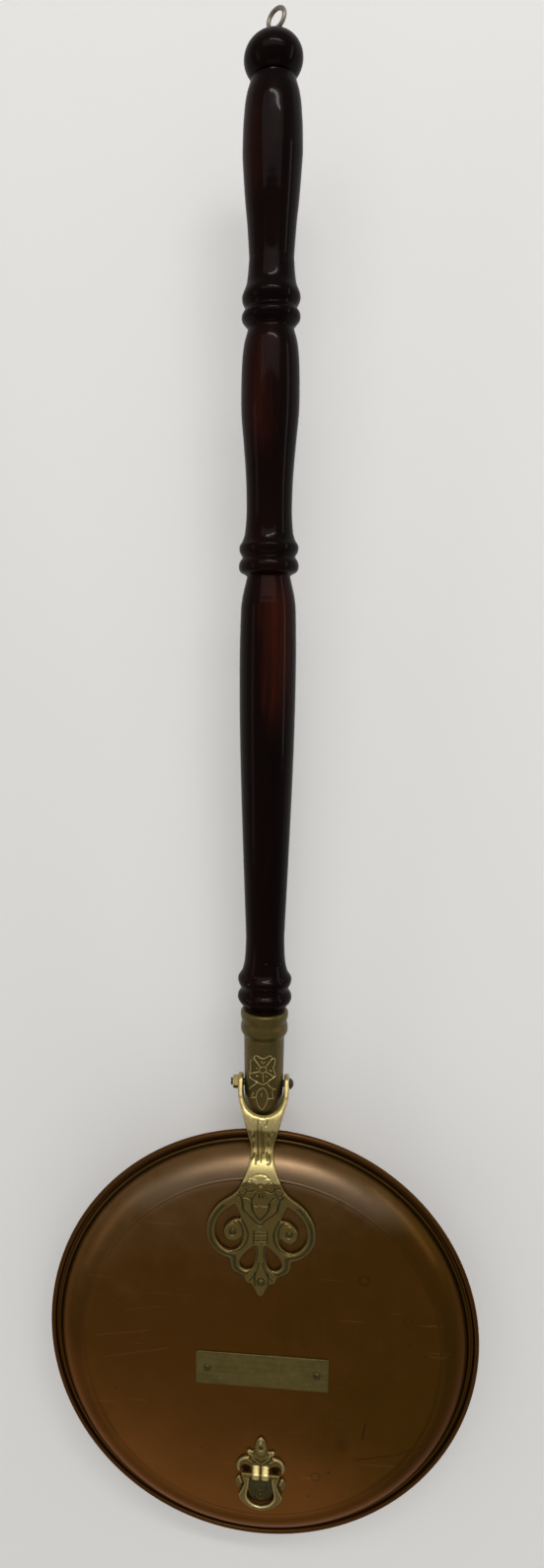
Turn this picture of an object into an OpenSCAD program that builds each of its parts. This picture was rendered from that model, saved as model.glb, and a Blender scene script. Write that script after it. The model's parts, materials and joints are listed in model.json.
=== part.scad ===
// Bed warming pan: a lidded copper pan on a long turned handle in three sections.
// The origin is the middle of the pan's flat bottom, +Y runs out along the handle and +Z is up.

/* [Pan] */
// Diameter over the rolled rim
pan_d = 304.8; // [290:0.1:330]
// Height from the flat bottom to the top of the rolled rim
pan_h = 62; // [58:0.5:80]
// Thickness of the copper sheet of the pan and the lid
copper_t = 1.2; // [0.9:0.1:1.5]
// Width of the rim from the wall to its outer edge
rim_w = 11.8; // [11:0.1:14]
// Diameter of the wire that stiffens the rolled rim
rim_wire_d = 1.6; // [1.2:0.1:2.4]
// Radius of the corner between the bottom and the wall
pan_corner_r = 18; // [10:0.5:22]
// Lean of the wall away from upright
wall_lean = 14; // [8:0.5:18]
// Drop from the middle of the rolled rim to the flat of the rim that carries the lid
seat_drop = 0.6; // [0.4:0.1:0.8]

/* [Lid] */
// Gap round the edge of the lid inside the rolled rim
lid_gap = 1.4; // [0.8:0.1:1.8]
// Radius of the rounded edge of the lid
lid_hem_r = 1.3; // [1.2:0.1:1.6]
// Distance of the edge of the lid's raised disc inside the rim's outer edge
disc_inset = 28.9; // [27.5:0.1:34]
// Height of the disc above the flat edge of the lid
dome_h = 15.6; // [12:0.1:20]
// Height of the small ridge round the disc
ridge_h = 0.85; // [0.5:0.05:1.2]
// Slope of the rounded shoulder where it leaves the ridge
shoulder_start = 15; // [10:1:20]
// Slope of the shoulder where it reaches the edge
shoulder_end = 66; // [60:1:72]

/* [Hinge] */
// Distance of the hinge bolt outside the rim's outer edge
pivot_out = 29.1; // [28.6:0.1:31.6]
// Height of the hinge bolt below the middle of the rolled rim
pivot_drop = 11; // [10.5:0.1:11.5]
// Slope of the handle above the level
handle_rise = 3.4; // [2.5:0.1:4]
// Diameter of the hinge bolt
bolt_d = 4.8; // [4:0.1:5.2]
// Diameter of the round head of the hinge bolt
bolt_head_d = 8.2; // [7.4:0.1:9]
// Height of the head of the hinge bolt
bolt_head_h = 3; // [2.4:0.1:3.6]
// Width across the flats of the hinge nut
nut_af = 8.2; // [7.4:0.1:9]
// Thickness of the hinge nut
nut_t = 3.7; // [3:0.1:4.5]
// Length of the bolt that shows past the nut
bolt_end = 1.5; // [0.6:0.1:2.5]
// Thickness of each ear of the fork
ear_t = 3.6; // [3:0.1:4.5]
// Radius of the rounded end of each ear
ear_r = 6.6; // [6:0.1:7.2]
// Gap between the inside of an ear and the socket
ear_gap = 0.7; // [0.5:0.05:1.2]

/* [Strap] */
// Thickness of the pierced strap plate on the lid
strap_t = 3.4; // [2.6:0.1:3.8]
// Thickness of the strap where it crosses the rim
neck_t = 3.6; // [3:0.1:4]
// Narrowest width of the neck of the strap
neck_w = 15.8; // [14:0.2:17]
// Distance of the tip of the strap from the edge of the lid's raised disc
strap_reach = 83.1; // [79:0.1:86]
// Width of the strap across its scrolls
strap_w = 75.4; // [72:0.2:78]

/* [Socket] */
// Radius of the socket at the hinge bolt
socket_r = 13.6; // [13.2:0.1:14]
// Radius of the socket below its beads
socket_top_r = 14.1; // [13.6:0.1:14.6]
// Distance of the open end of the socket from the hinge bolt
socket_l = 55; // [52:0.5:58]
// Diameter of the wooden tenon inside the socket
tenon_d = 21; // [19:0.5:21.5]
// Length of the tenon past the hinge bolt
tenon_past = 9; // [7:0.5:10]
// Distance from the hinge bolt to the middle of the round nose of the socket
nose_back = 14; // [13:0.5:15]
// Width of the foot of the socket on the wall of the pan
foot_w = 46; // [42:0.5:50]
// Height of the foot of the socket
foot_h = 26; // [23:0.5:28]
// Height of the middle of the foot above the pan's bottom
foot_z = 40; // [38:0.5:41]
// Thickness of the foot of the socket
foot_t = 3; // [2.4:0.1:4]
// Thickness of the plate inside the pan that backs the foot
backing_t = 1.6; // [1.2:0.1:2.4]
// Diameter of the four rivets of the foot
foot_rivet_d = 4; // [3:0.1:4.6]
// Distance of the foot's rivets from its sides
foot_rivet_side = 6.8; // [6.4:0.1:8]
// Distance of the foot's rivets from its top and its bottom
foot_rivet_edge = 5.5; // [5.2:0.1:6]
// Radius of the neck that joins the socket to its foot
neck_pipe_r = 9.5; // [8:0.5:10]

/* [Handle] */
// Belly diameter of the lower section
lower_belly_d = 37.4; // [34:0.1:38.2]
// Belly diameter of the middle section
middle_belly_d = 37.3; // [34:0.1:38.2]
// Belly diameter of the grip on the top section
grip_d = 37.1; // [34:0.1:38.2]
// Greatest diameter of the turned beads
bead_d = 39; // [36:0.1:39.4]
// Length of the beads at the foot of the lower section
bead_l = 30.2; // [28:0.1:33]
// Diameter of the knob at the end of the handle
knob_d = 36.2; // [34:0.1:38]
// Height of the knob from pole to pole
knob_h = 30.4; // [28:0.1:32]
// Length of the lower section outside the socket
lower_l = 319.6; // [300:0.1:340]
// Length of the middle section
middle_l = 151; // [140:0.1:160]
// Length of the top section
top_l = 149.1; // [146:0.1:153]
// Diameter of the steel studs that join the sections
stud_d = 6; // [5:0.1:8]
// Depth of each stud in each section
stud_depth = 19; // [15:0.5:24]

/* [Hanging eye] */
// Diameter of the wire of the screw eye
eye_wire_d = 2.7; // [2.2:0.1:3]
// Outer diameter of the loop of the screw eye
eye_d = 14.6; // [12.5:0.1:16]
// Turn of the loop about the handle
eye_turn = 37; // [0:1:60]
// Lean of the eye to the right
eye_lean = 12; // [0:1:14]
// Depth of the eye's shank in the knob
eye_depth = 22; // [16:0.5:28]

/* [Name plate] */
// Length of the name plate
plate_l = 92.6; // [86:0.1:98]
// Width of the name plate
plate_w = 24.1; // [22:0.1:27]
// Thickness of the name plate
plate_t = 0.9; // [0.7:0.1:1.4]
// Distance of the name plate from the middle of the pan
plate_y = -15.2; // [-18:0.1:-12]
// Distance that the name plate and the pull sit to the right of the middle line
trim_x = 1.7; // [0:0.1:2.5]
// Distance of each rivet from the end of the name plate
plate_inset = 8.2; // [6:0.1:12]
// Diameter of the small rivets of the name plate and the pull
small_rivet_d = 2.4; // [2:0.1:3]

/* [Pull] */
// Distance of the bar of the drop pull from the edge of the lid's raised disc
bar_inset = 33.2; // [32.5:0.1:34.5]
// Thickness of the back plate of the pull
back_t = 1.8; // [1.6:0.1:2.2]
// Thickness of the bail of the pull
bail_t = 3.2; // [2.8:0.1:3.4]
// Width of the bail across its bar
bail_w = 26.8; // [26:0.1:27.6]
// Length of the bail from its bar to its lowest edge
bail_l = 25.8; // [25:0.1:27]
// Diameter of the bar of the bail
bar_d = 3.2; // [2.8:0.1:3.4]
// Width of each of the two knuckles that hold the bar
knuckle_w = 5.6; // [4.5:0.1:5.8]
// Wall of the knuckles round the bar
knuckle_wall = 1.5; // [1.2:0.1:1.8]

/* [Fits] */
// Radial clearance of a pivot that turns
running_fit = 0.08; // [0.05:0.01:0.1]
// Radial clearance of a rivet, stud or tenon in its hole
still_fit = 0.03; // [0.02:0.01:0.05]
// Gap between faces that move past each other
side_gap = 0.3; // [0.2:0.05:0.4]
// Gap past the end of a stud, a tenon or a shank in its hole
end_gap = 0.4; // [0.2:0.1:1]
// Gap between the pan's curved wall and a plate that is riveted to it
wall_seat = 0.2; // [0.05:0.05:0.3]

/* [Hidden] */
$fn = 96;

copper = "peru";
brass = "darkkhaki";
lacquered_wood = "saddlebrown";
steel = "slategray";

tiny = 0.01;
far = 400;
arc_steps = 8;
turning_steps = 5;

// The rim and the seat of the lid
roll_r = rim_wire_d / 2 + still_fit + copper_t;
roll_centre = pan_d / 2 - roll_r;
rim_z = pan_h - roll_r;
seat_z = rim_z - seat_drop;
wall_top_r = pan_d / 2 - rim_w;
bend_r = 2;
wall_rise = seat_z - copper_t - bend_r + bend_r * sin(wall_lean)
            - pan_corner_r + pan_corner_r * sin(wall_lean);
base_r = wall_top_r + bend_r - (bend_r + pan_corner_r) * cos(wall_lean)
         - wall_rise * tan(wall_lean);

// The lid
disc_d = pan_d - 2 * disc_inset;
lid_r = pan_d / 2 - 2 * roll_r - lid_gap;
hem_centre = lid_r - lid_hem_r;
hem_z = seat_z + side_gap + lid_hem_r + 0.1;
edge_top_z = seat_z + side_gap + copper_t;
disc_z = edge_top_z + dome_h;
ridge_r = disc_d / 2 + 1.6;
ridge_end_r = disc_d / 2 + 2.7;
foot_fillet = 1.5;
shoulder_top = disc_z + ridge_h * 0.65;
shoulder_w = (hem_centre - ridge_end_r - foot_fillet * sin(shoulder_end))
             / (sin(shoulder_end) - sin(shoulder_start));
shoulder_h = (shoulder_top - edge_top_z - foot_fillet * (1 - cos(shoulder_end)))
             / (cos(shoulder_start) - cos(shoulder_end));
// Point of the shoulder's section where its slope is t, stood off by a gap
function shoulder(t, gap = 0) =
    [ridge_end_r - shoulder_w * sin(shoulder_start) + (shoulder_w + gap) * sin(t),
     shoulder_top - shoulder_h * cos(shoulder_start) + (shoulder_h + gap) * cos(t)];

// The hinge
pivot_y = pan_d / 2 + pivot_out;
pivot_z = rim_z - pivot_drop;
ear_in = socket_r + ear_gap;
ear_out = ear_in + ear_t;
bolt_r = bolt_d / 2;

// The handle's sections, measured along the handle from the hinge bolt
lower_end = socket_l + lower_l;
middle_end = lower_end + middle_l;
handle_end = middle_end + top_l;
knob_centre = handle_end - knob_h / 2;

// The strap where it crosses the lid's shoulder and the rim
strap_bottom = disc_z;
strap_top = disc_z + strap_t;
neck_bottom = pan_h + 2.2;
neck_top = neck_bottom + neck_t;
crotch_r = ear_in;
crotch_y = pivot_y - ear_in - 3.2;
strap_rivet_d = 3.4;

// The strap's lattice is drawn from its root near the disc's edge, x to the side and y to the tip,
// at these sizes, and the drawing is stretched to the real ones
drawn_w = 75.4;
drawn_l = 77.6;
root_inset = 5.5;
root_y = disc_d / 2 - root_inset;
function lattice(p) = [p[0] * strap_w / drawn_w,
                       root_y - p[1] * (strap_reach - root_inset) / drawn_l];
strap_rivets_at = [for (p = [[-19.4, 30.6], [19.4, 30.6], [0.4, 66.2]]) lattice(p)];

// The pull
bar_y = bar_inset - disc_d / 2;
pull_rivets_at = [[trim_x, bar_y + 19], [trim_x, bar_y - 16.8]];
back_top = disc_z + back_t;
bar_z = back_top + side_gap + bail_t / 2;
knuckle_r = bar_d / 2 + running_fit + knuckle_wall;

plate_rivets_at = [for (side = [-1, 1]) [trim_x + side * (plate_l / 2 - plate_inset), plate_y]];

// Points of an arc from angle a to angle b about a centre
function arc(centre, r, a, b, steps = arc_steps) =
    [for (i = [0 : steps]) let (t = a + (b - a) * i / steps) centre + r * [cos(t), sin(t)]];

// Unit vector to the left of the way from p to q
function left_of(p, q) = let (d = q - p) [-d[1], d[0]] / norm(d);

// A path moved to its left by t, mitred at every corner
function moved(path, t) = [for (i = [0 : len(path) - 1])
    let (before = left_of(path[max(i - 1, 0)], path[max(i, 1)]),
         after = left_of(path[min(i, len(path) - 2)], path[min(i + 1, len(path) - 1)]),
         middle = before + after)
    path[i] + middle * (2 * t / (middle * middle))];

function backwards(path) = [for (i = [len(path) - 1 : -1 : 0]) path[i]];

// The section of a sheet of thickness t to the left of a path, or to its right
function sheet(path, t, right = false) =
    right ? concat(moved(path, -t), backwards(path)) : concat(path, backwards(moved(path, t)));

// The whole outline of a shape from its left half, which starts and ends on the middle line
function both_halves(half) =
    concat(half, [for (i = [len(half) - 2 : -1 : 1]) [-half[i][0], half[i][1]]]);

// A smooth curve through points, as a wood turner's profile
function curve_point(a, b, c, d, t) = 0.5 * (2 * b + (c - a) * t
    + (2 * a - 5 * b + 4 * c - d) * t * t + (3 * b - a - 3 * c + d) * t * t * t);
function smooth_curve(p, steps = turning_steps) = concat(
    [for (i = [0 : len(p) - 2], j = [0 : steps - 1])
        curve_point(p[max(i - 1, 0)], p[i], p[i + 1], p[min(i + 2, len(p) - 1)], j / steps)],
    [p[len(p) - 1]]);

// Outer radius of the pan's leaning wall at a height
wall_foot = [base_r + pan_corner_r * cos(wall_lean),
             pan_corner_r - pan_corner_r * sin(wall_lean)];
function wall_r(z) = wall_foot[0] + (z - wall_foot[1]) * tan(wall_lean);

pan_path = concat([[0, 0]],
    arc([base_r, pan_corner_r], pan_corner_r, -90, -wall_lean),
    arc([wall_top_r + bend_r, seat_z - copper_t - bend_r], bend_r, 180 - wall_lean, 90, 5),
    [[roll_centre, seat_z - copper_t]]);

lid_path = concat([[0, disc_z], [disc_d / 2 - 0.8, disc_z], [disc_d / 2, disc_z + ridge_h * 0.2],
                   [disc_d / 2 + 0.8, disc_z + ridge_h * 0.8], [ridge_r, disc_z + ridge_h]],
    [for (i = [0 : arc_steps - 1])
        shoulder(shoulder_start + (shoulder_end - shoulder_start) * i / arc_steps)],
    arc([hem_centre, edge_top_z + foot_fillet], foot_fillet, 270 - shoulder_end, 270, 4));

// Places its children on the handle's axis, with +Z out along the handle from the bolt
module along_handle() {
    translate([0, pivot_y, pivot_z]) rotate([handle_rise - 90, 0, 0]) children();
}

// Places its children on the hinge axis, with +Z to the right
module along_bolt() {
    translate([0, pivot_y, pivot_z]) rotate([0, 90, 0]) children();
}

// Places its children on the pan's wall, with +Z square out of the wall
module on_wall(angle, z) {
    rotate([0, 0, -angle]) translate([0, wall_r(z), z])
        rotate([-90 - wall_lean, 0, 0]) children();
}

// A flat shape with rounded corners, about the origin
module rounded_flat(w, h, r) {
    square([w - 2 * r, h], center = true);
    square([w, h - 2 * r], center = true);
    for (x = [-1, 1], y = [-1, 1]) translate([x * (w / 2 - r), y * (h / 2 - r)]) circle(r);
}

// Half section of a low dome of radius r and height h, standing on the axis
module dome_section(r, h) {
    ball = (r * r + h * h) / (2 * h);
    intersection() {
        translate([0, h - ball]) circle(ball);
        square([r, h]);
    }
}

// A rivet with a domed head on top, a shank of length l below and a flat head under it
module rivet(d, l, head_r, head_h) {
    rotate_extrude() {
        dome_section(head_r, head_h);
        translate([0, -l]) square([d / 2, l + tiny]);
        translate([0, -l - head_h * 0.7]) square([head_r, head_h * 0.7]);
    }
}

module shank_hole(d) {
    cylinder(h = far, d = d + 2 * still_fit, center = true);
}

// ---- the pan and what is fixed to it ----

module pan() color(copper) difference() {
    rotate_extrude($fn = 180) difference() {
        union() {
            polygon(sheet(pan_path, copper_t));
            translate([roll_centre, rim_z]) circle(roll_r, $fn = 48);
        }
        translate([roll_centre, rim_z]) circle(rim_wire_d / 2 + still_fit, $fn = 48);
    }
    foot_rivets_placed() cylinder(h = 3 * foot_rivet_d, d = foot_rivet_d + 2 * still_fit,
                                  center = true);
}

module rim_wire() color(steel) rotate_extrude($fn = 180)
    translate([roll_centre, rim_z]) circle(d = rim_wire_d, $fn = 48);

foot_rivet_angle = asin((foot_w / 2 - foot_rivet_side) / wall_r(foot_z));
module foot_rivets_placed() {
    for (side = [-1, 1], up = [-1, 1])
        on_wall(side * foot_rivet_angle, foot_z + up * (foot_h / 2 - foot_rivet_edge))
            children();
}

// A patch of plate that follows the wall, from one distance off the wall to another
foot_corner_r = 6;
module wall_patch(w, h, from, to) {
    intersection() {
        rotate_extrude($fn = 180) polygon([
            for (edge = [[from, 0], [to, 0], [to, pan_h], [from, pan_h]])
                [wall_r(edge[1]) + edge[0] / cos(wall_lean), edge[1]]]);
        translate([0, far, foot_z]) rotate([90, 0, 0])
            linear_extrude(far) rounded_flat(w, h, foot_corner_r);
    }
}

module socket_backing() color(brass) difference() {
    wall_patch(foot_w - 4, foot_h - 4, -copper_t - backing_t - wall_seat,
               -copper_t - wall_seat);
    foot_rivets_placed() cylinder(h = 4 * foot_rivet_d, d = foot_rivet_d + 2 * still_fit,
                                  center = true);
}

// The flat heads inside the pan stand off the hollow of the wall by this much
foot_head_r = foot_rivet_d * 0.9;
wall_hollow = foot_head_r * foot_head_r / wall_r(foot_z);
module socket_rivets() color(copper) foot_rivets_placed() translate([0, 0, foot_t])
    rivet(foot_rivet_d, foot_t + copper_t + backing_t + wall_seat + wall_hollow,
          foot_head_r, foot_rivet_d * 0.475);

socket_profile = concat([[0, -nose_back], [socket_r - 0.1, -nose_back], [socket_r, 0]],
    smooth_curve([for (p = [
        [0, -19.6], [0.3, -18.7], [1.2, -17.2], [2, -15.6], [2.3, -14], [2.25, -11.6],
        [1.9, -9.8], [1.65, -8.3], [1.8, -7], [2.25, -5.6], [2.5, -3.6], [2.4, -1.8],
        [1.9, -0.7], [1.1, 0]]) [socket_top_r + p[0], socket_l + p[1]]], 3),
    [[0, socket_l]]);

neck_tilt = 105;
module handle_socket() color(brass) difference() {
    union() {
        along_handle() {
            rotate_extrude() polygon(socket_profile);
            translate([0, 0, -nose_back]) sphere(socket_r - 0.1);
        }
        wall_patch(foot_w, foot_h, wall_seat, foot_t);
        translate([0, pivot_y - nose_back, pivot_z - nose_back * sin(handle_rise)])
            rotate([neck_tilt, 0, 0]) cylinder(h = pivot_out + copper_t, r = neck_pipe_r);
    }
    translate([0, 0, -tiny]) rotate_extrude($fn = 180)
        polygon([[0, 0], [wall_r(0), 0], [wall_r(pan_h), pan_h], [0, pan_h]]);
    along_handle() {
        translate([0, 0, -tenon_past - end_gap])
            cylinder(h = far, d = tenon_d + 2 * still_fit);
    }
    along_bolt() cylinder(h = far, r = bolt_r + still_fit, center = true);
    foot_rivets_placed() cylinder(h = 4 * foot_rivet_d, d = foot_rivet_d + 2 * still_fit,
                                  center = true);
}

module hinge_bolt() color(steel) along_bolt() difference() {
    rotate_extrude() {
        translate([0, -ear_out - side_gap / 2 - nut_t - bolt_end])
            square([bolt_r, 2 * ear_out + side_gap + nut_t + bolt_end + tiny]);
        translate([0, ear_out + side_gap / 2]) dome_section(bolt_head_d / 2, bolt_head_h);
    }
    translate([0, 0, ear_out + side_gap / 2 + bolt_head_h])
        cube([bolt_head_d * 2, 1, 2.2], center = true);
}

module hinge_nut() color(steel) along_bolt()
    translate([0, 0, -ear_out - side_gap / 2 - nut_t]) difference() {
        intersection() {
            rotate([0, 0, 12]) cylinder(h = nut_t, d = nut_af / cos(30), $fn = 6);
            rotate_extrude() polygon([[0, 0], [nut_af * 0.47, 0], [nut_af * 0.6, 0.9],
                                      [nut_af * 0.6, nut_t], [0, nut_t]]);
        }
        translate([0, 0, -tiny]) cylinder(h = far, r = bolt_r + still_fit);
    }

// ---- the handle ----

// Half section of a turned piece between two distances along the handle
module turned(profile, from, to) {
    polygon(concat([[0, from]], smooth_curve(profile, 4), [[0, to]]));
}

// Each profile is radius and distance: first from one end of a section, then from the other.
// The beads and the necks between them are drawn at these sizes and stretched to the real ones.
drawn_bead_d = 39;
drawn_bead_l = 30.2;
function beads(drawn, at, way = 1) = [for (p = drawn) [p[0] * bead_d / drawn_bead_d,
                                                       at + way * p[1] * bead_l / drawn_bead_l]];
lower_belly = lower_belly_d / 2;
lower_profile = concat(
    beads([[14.3, 0], [14.3, 1.4], [15.2, 3.3], [17.1, 5.4], [18.4, 7.6], [18.7, 9.8],
           [18.1, 12], [16.9, 13.8], [16.45, 15.3], [16.8, 17], [18, 19.4],
           [18.55, 22], [18.2, 24], [16.3, 27], [15.1, 30.2], [13.9, 37], [13.3, 50],
           [13.6, 61]], socket_l),
    [[lower_belly - 2.8, socket_l + 0.375 * lower_l],
     [lower_belly - 0.7, socket_l + 0.573 * lower_l],
     [lower_belly, socket_l + 0.74 * lower_l]],
    beads([[18.1, 46.6], [17.3, 38], [16.4, 33], [14.3, 24], [14.35, 22.7],
           [15.8, 21.7], [17.7, 20.7], [18.9, 19.4], [19.5, 17.4], [19.45, 15.4],
           [18.7, 13.2], [17.35, 11.3], [17.3, 10.3], [18.2, 8.8], [19, 7],
           [19.25, 5], [19, 3.2], [18, 1.6], [17.1, 0]], lower_end, -1));

module handle_lower() color(lacquered_wood) along_handle() difference() {
    rotate_extrude() {
        turned(lower_profile, socket_l, lower_end);
        translate([0, -tenon_past]) square([tenon_d / 2, tenon_past + socket_l + 1]);
    }
    rotate([90 - handle_rise, 0, 0]) rotate([0, 90, 0])
        cylinder(h = far, r = bolt_r + still_fit, center = true);
    translate([0, 0, lower_end - stud_depth - end_gap])
        cylinder(h = far, d = stud_d + 2 * still_fit);
}

middle_belly = middle_belly_d / 2;
middle_profile = concat(
    beads([[17.1, 0], [16.8, 0.8], [16.1, 2.9], [15.6, 5.3], [15, 12], [14.7, 21],
           [15.2, 39]], lower_end),
    [[middle_belly - 2, lower_end + 0.39 * middle_l],
     [middle_belly - 0.3, lower_end + 0.515 * middle_l],
     [middle_belly, lower_end + 0.61 * middle_l]],
    beads([[18.3, 44], [17.7, 35.5], [16.7, 28.7], [15.2, 23.4], [14.7, 21.4],
           [15, 20], [16.6, 18], [18.1, 16.1], [18.5, 14.2], [18.2, 12.2],
           [16.9, 10.2], [16.4, 8.8], [16.9, 7.1], [18, 4.9], [18.4, 2.7],
           [18.2, 1], [17.9, 0]], middle_end, -1));

module handle_middle() color(lacquered_wood) along_handle() difference() {
    rotate_extrude() turned(middle_profile, lower_end, middle_end);
    translate([0, 0, lower_end + stud_depth + end_gap]) mirror([0, 0, 1])
        cylinder(h = far, d = stud_d + 2 * still_fit);
    translate([0, 0, middle_end - stud_depth - end_gap])
        cylinder(h = far, d = stud_d + 2 * still_fit);
}

grip_belly = grip_d / 2;
drawn_knob_d = 36.2;
drawn_knob_h = 30.4;
function knob_neck(drawn) = [for (p = drawn) [p[0] * knob_d / drawn_knob_d,
                                              handle_end - p[1] * knob_h / drawn_knob_h]];
neck_end = knob_neck([[14.1, 26.9]])[0];
knob_outline = [for (t = [-60 : 6 : 90])
    [knob_d / 2 * cos(t), knob_centre + knob_h / 2 * sin(t)]];
top_profile = concat(
    beads([[17.8, 0], [17.4, 1.2], [16.6, 3], [15.6, 6], [14.8, 11.5], [14.3, 18],
           [14.15, 23], [15.5, 42]], middle_end),
    [[grip_belly - 1.7, middle_end + 0.37 * top_l],
     [grip_belly - 0.15, middle_end + 0.515 * top_l],
     [grip_belly, middle_end + 0.57 * top_l]],
    knob_neck([[18.3, 53.6], [17.8, 46.6], [17.2, 40.1], [16.2, 34.5], [15.1, 30.9],
               [14.3, 28.3]]), [neck_end]);

module handle_top() color(lacquered_wood) along_handle() difference() {
    rotate_extrude() {
        turned(top_profile, middle_end, neck_end[1]);
        polygon(concat([[0, neck_end[1] - 2]], knob_outline));
    }
    translate([0, 0, middle_end + stud_depth + end_gap]) mirror([0, 0, 1])
        cylinder(h = far, d = stud_d + 2 * still_fit);
    at_eye() translate([0, 0, -eye_depth - end_gap])
        cylinder(h = far, d = eye_wire_d + 2 * still_fit);
}

module section_studs() color(steel) along_handle()
    for (joint = [lower_end, middle_end]) translate([0, 0, joint])
        cylinder(h = 2 * stud_depth, d = stud_d, center = true);

eye_loop_r = (eye_d - eye_wire_d) / 2;
module at_eye() {
    translate([0, 0, handle_end]) rotate([0, eye_lean, 0]) rotate([0, 0, -eye_turn]) children();
}

module hanging_eye() color(steel) along_handle() at_eye() {
    translate([0, 0, -eye_depth]) cylinder(h = eye_depth + eye_wire_d / 2, d = eye_wire_d);
    translate([0, 0, eye_d / 2]) rotate([90, 0, 0]) rotate_extrude()
        translate([eye_loop_r, 0]) circle(d = eye_wire_d, $fn = 32);
}

// ---- the lid and what is fixed to it ----

module lid() color(copper) difference() {
    rotate_extrude($fn = 180) {
        polygon(sheet(lid_path, copper_t, right = true));
        translate([hem_centre, hem_z]) circle(lid_hem_r, $fn = 32);
    }
    for (p = strap_rivets_at) translate(p) shank_hole(strap_rivet_d);
    for (p = concat(plate_rivets_at, pull_rivets_at)) translate(p) shank_hole(small_rivet_d);
}

// Left edge of the strap, from the tip round the scroll to the shoulder of the lid
strap_edge = smooth_curve([for (p = [
    [0, 77.6], [-2.3, 76.1], [-4.6, 71.4], [-6.2, 68.7], [-9.6, 67.8], [-11, 65.6],
    [-12.1, 63], [-14.9, 61.4], [-17.6, 60.2], [-19.8, 58.2], [-20.9, 55], [-21.6, 51.2],
    [-25, 49.9], [-29.3, 47.5], [-33.7, 43.1], [-36.6, 38.4], [-37.7, 33], [-37.4, 27.6],
    [-36.2, 22.8], [-33.5, 17.6], [-29.7, 12.5], [-25.4, 8.8], [-20.8, 5.8],
    [-17.6, 2.9], [-15.4, 0]]) lattice(p)], 3);

// Left edge of the neck and the fork, on from the shoulder to the ear
neck_end_y = pivot_y - 1.65 * ear_out;
function neck_y(share) = root_y + share * (neck_end_y - root_y);
fork_edge = concat(smooth_curve([
    lattice([-15.4, 0]), [-neck_w * 0.82, neck_y(0.16)], [-neck_w * 0.68, neck_y(0.31)],
    [-neck_w * 0.58, neck_y(0.46)], [-neck_w * 0.51, neck_y(0.62)], [-neck_w / 2, neck_y(0.75)],
    [-neck_w * 0.58, neck_y(0.88)], [-ear_out * 0.59, neck_end_y],
    [-ear_out * 0.7, pivot_y - 1.26 * ear_out], [-ear_out * 0.87, pivot_y - 0.78 * ear_out],
    [-ear_out * 0.97, pivot_y - 0.47 * ear_out], [-ear_out, pivot_y - 0.17 * ear_out]], 3),
    [[-ear_out, pivot_y + ear_r + 1], [0, pivot_y + ear_r + 1]]);

// The two openings of the left half of the strap
scroll_opening = smooth_curve([for (p = [
    [-18.2, 12], [-21.6, 14.1], [-25.2, 17.2], [-28.3, 21], [-30.6, 25.7], [-31.5, 31],
    [-31, 36], [-29, 40], [-25.9, 43.1], [-22, 44.8], [-18.3, 44.4], [-15.3, 42.4],
    [-13, 38.6], [-13, 35], [-16, 37.6], [-20.3, 38.8], [-24.2, 36.2], [-25.9, 32.3],
    [-25.2, 28.3], [-22.3, 24.8], [-18.3, 22.2], [-14.2, 21.5], [-15.4, 18],
    [-18.2, 12]]) lattice(p)], 3);
leaf_opening = smooth_curve([for (p = [
    [-3.9, 41], [-7.8, 43.8], [-12.2, 48.6], [-14.2, 53], [-13.3, 56.6], [-9.6, 58.2],
    [-6.2, 56.8], [-4.4, 52.8], [-3.4, 47], [-3.9, 41]]) lattice(p)], 3);

module strap_outline() {
    difference() {
        polygon(both_halves(concat(strap_edge, fork_edge)));
        for (side = [0, 1]) mirror([side, 0]) {
            polygon(scroll_opening);
            polygon(leaf_opening);
        }
        translate([0, crotch_y + crotch_r]) circle(crotch_r);
        translate([-crotch_r, crotch_y + crotch_r]) square([2 * crotch_r, far]);
    }
}

// Side view of the strap: flat on the disc, down over the shoulder, level over the rim
shoulder_clear = 0.4;
fork_drop = neck_bottom - pivot_z;
strap_under = concat(
    [[0, strap_bottom], [disc_d / 2 - 3.4, strap_bottom],
     [disc_d / 2 - 0.6, disc_z + ridge_h + 0.1]],
    [for (t = [12 : 12 : 60]) shoulder(t, shoulder_clear)],
    [[pan_d / 2 + 0.4, neck_bottom], [pivot_y - ear_r * 3.3, neck_bottom],
     [pivot_y - ear_r * 2.6, neck_bottom - 0.07 * fork_drop],
     [pivot_y - ear_r * 2.1, neck_bottom - 0.27 * fork_drop],
     [pivot_y - ear_r * 1.45, neck_bottom - 0.58 * fork_drop],
     [pivot_y - ear_r * 0.8, pivot_z - ear_r * 0.6]]);
strap_over = concat(
    [[pivot_y + ear_r * 0.53, pivot_z + ear_r * 0.848],
     [pivot_y - ear_r * 2.6, neck_top - 0.53 * neck_t], [pivot_y - ear_r * 3.65, neck_top],
     [pan_d / 2 - 1, neck_top + 0.6]],
    [for (t = [50 : -6 : 14]) shoulder(t, neck_t - 0.6)],
    [[disc_d / 2 + 0.5, strap_top + 0.2], [disc_d / 2 - 6, strap_top], [0, strap_top]]);

module hinge_strap() color(brass) difference() {
    intersection() {
        linear_extrude(far) strap_outline();
        rotate([90, 0, 90]) linear_extrude(far, center = true) {
            polygon(concat(strap_under, [[pivot_y, pivot_z]], strap_over));
            translate([pivot_y, pivot_z]) circle(ear_r);
        }
    }
    along_bolt() cylinder(h = far, r = bolt_r + running_fit, center = true);
    for (p = strap_rivets_at) translate(p) shank_hole(strap_rivet_d);
}

module strap_rivets() color(brass) for (p = strap_rivets_at)
    translate([p[0], p[1], strap_top]) rivet(strap_rivet_d, strap_t + copper_t, strap_rivet_d * 0.76,
                                         strap_rivet_d * 0.38);

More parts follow.
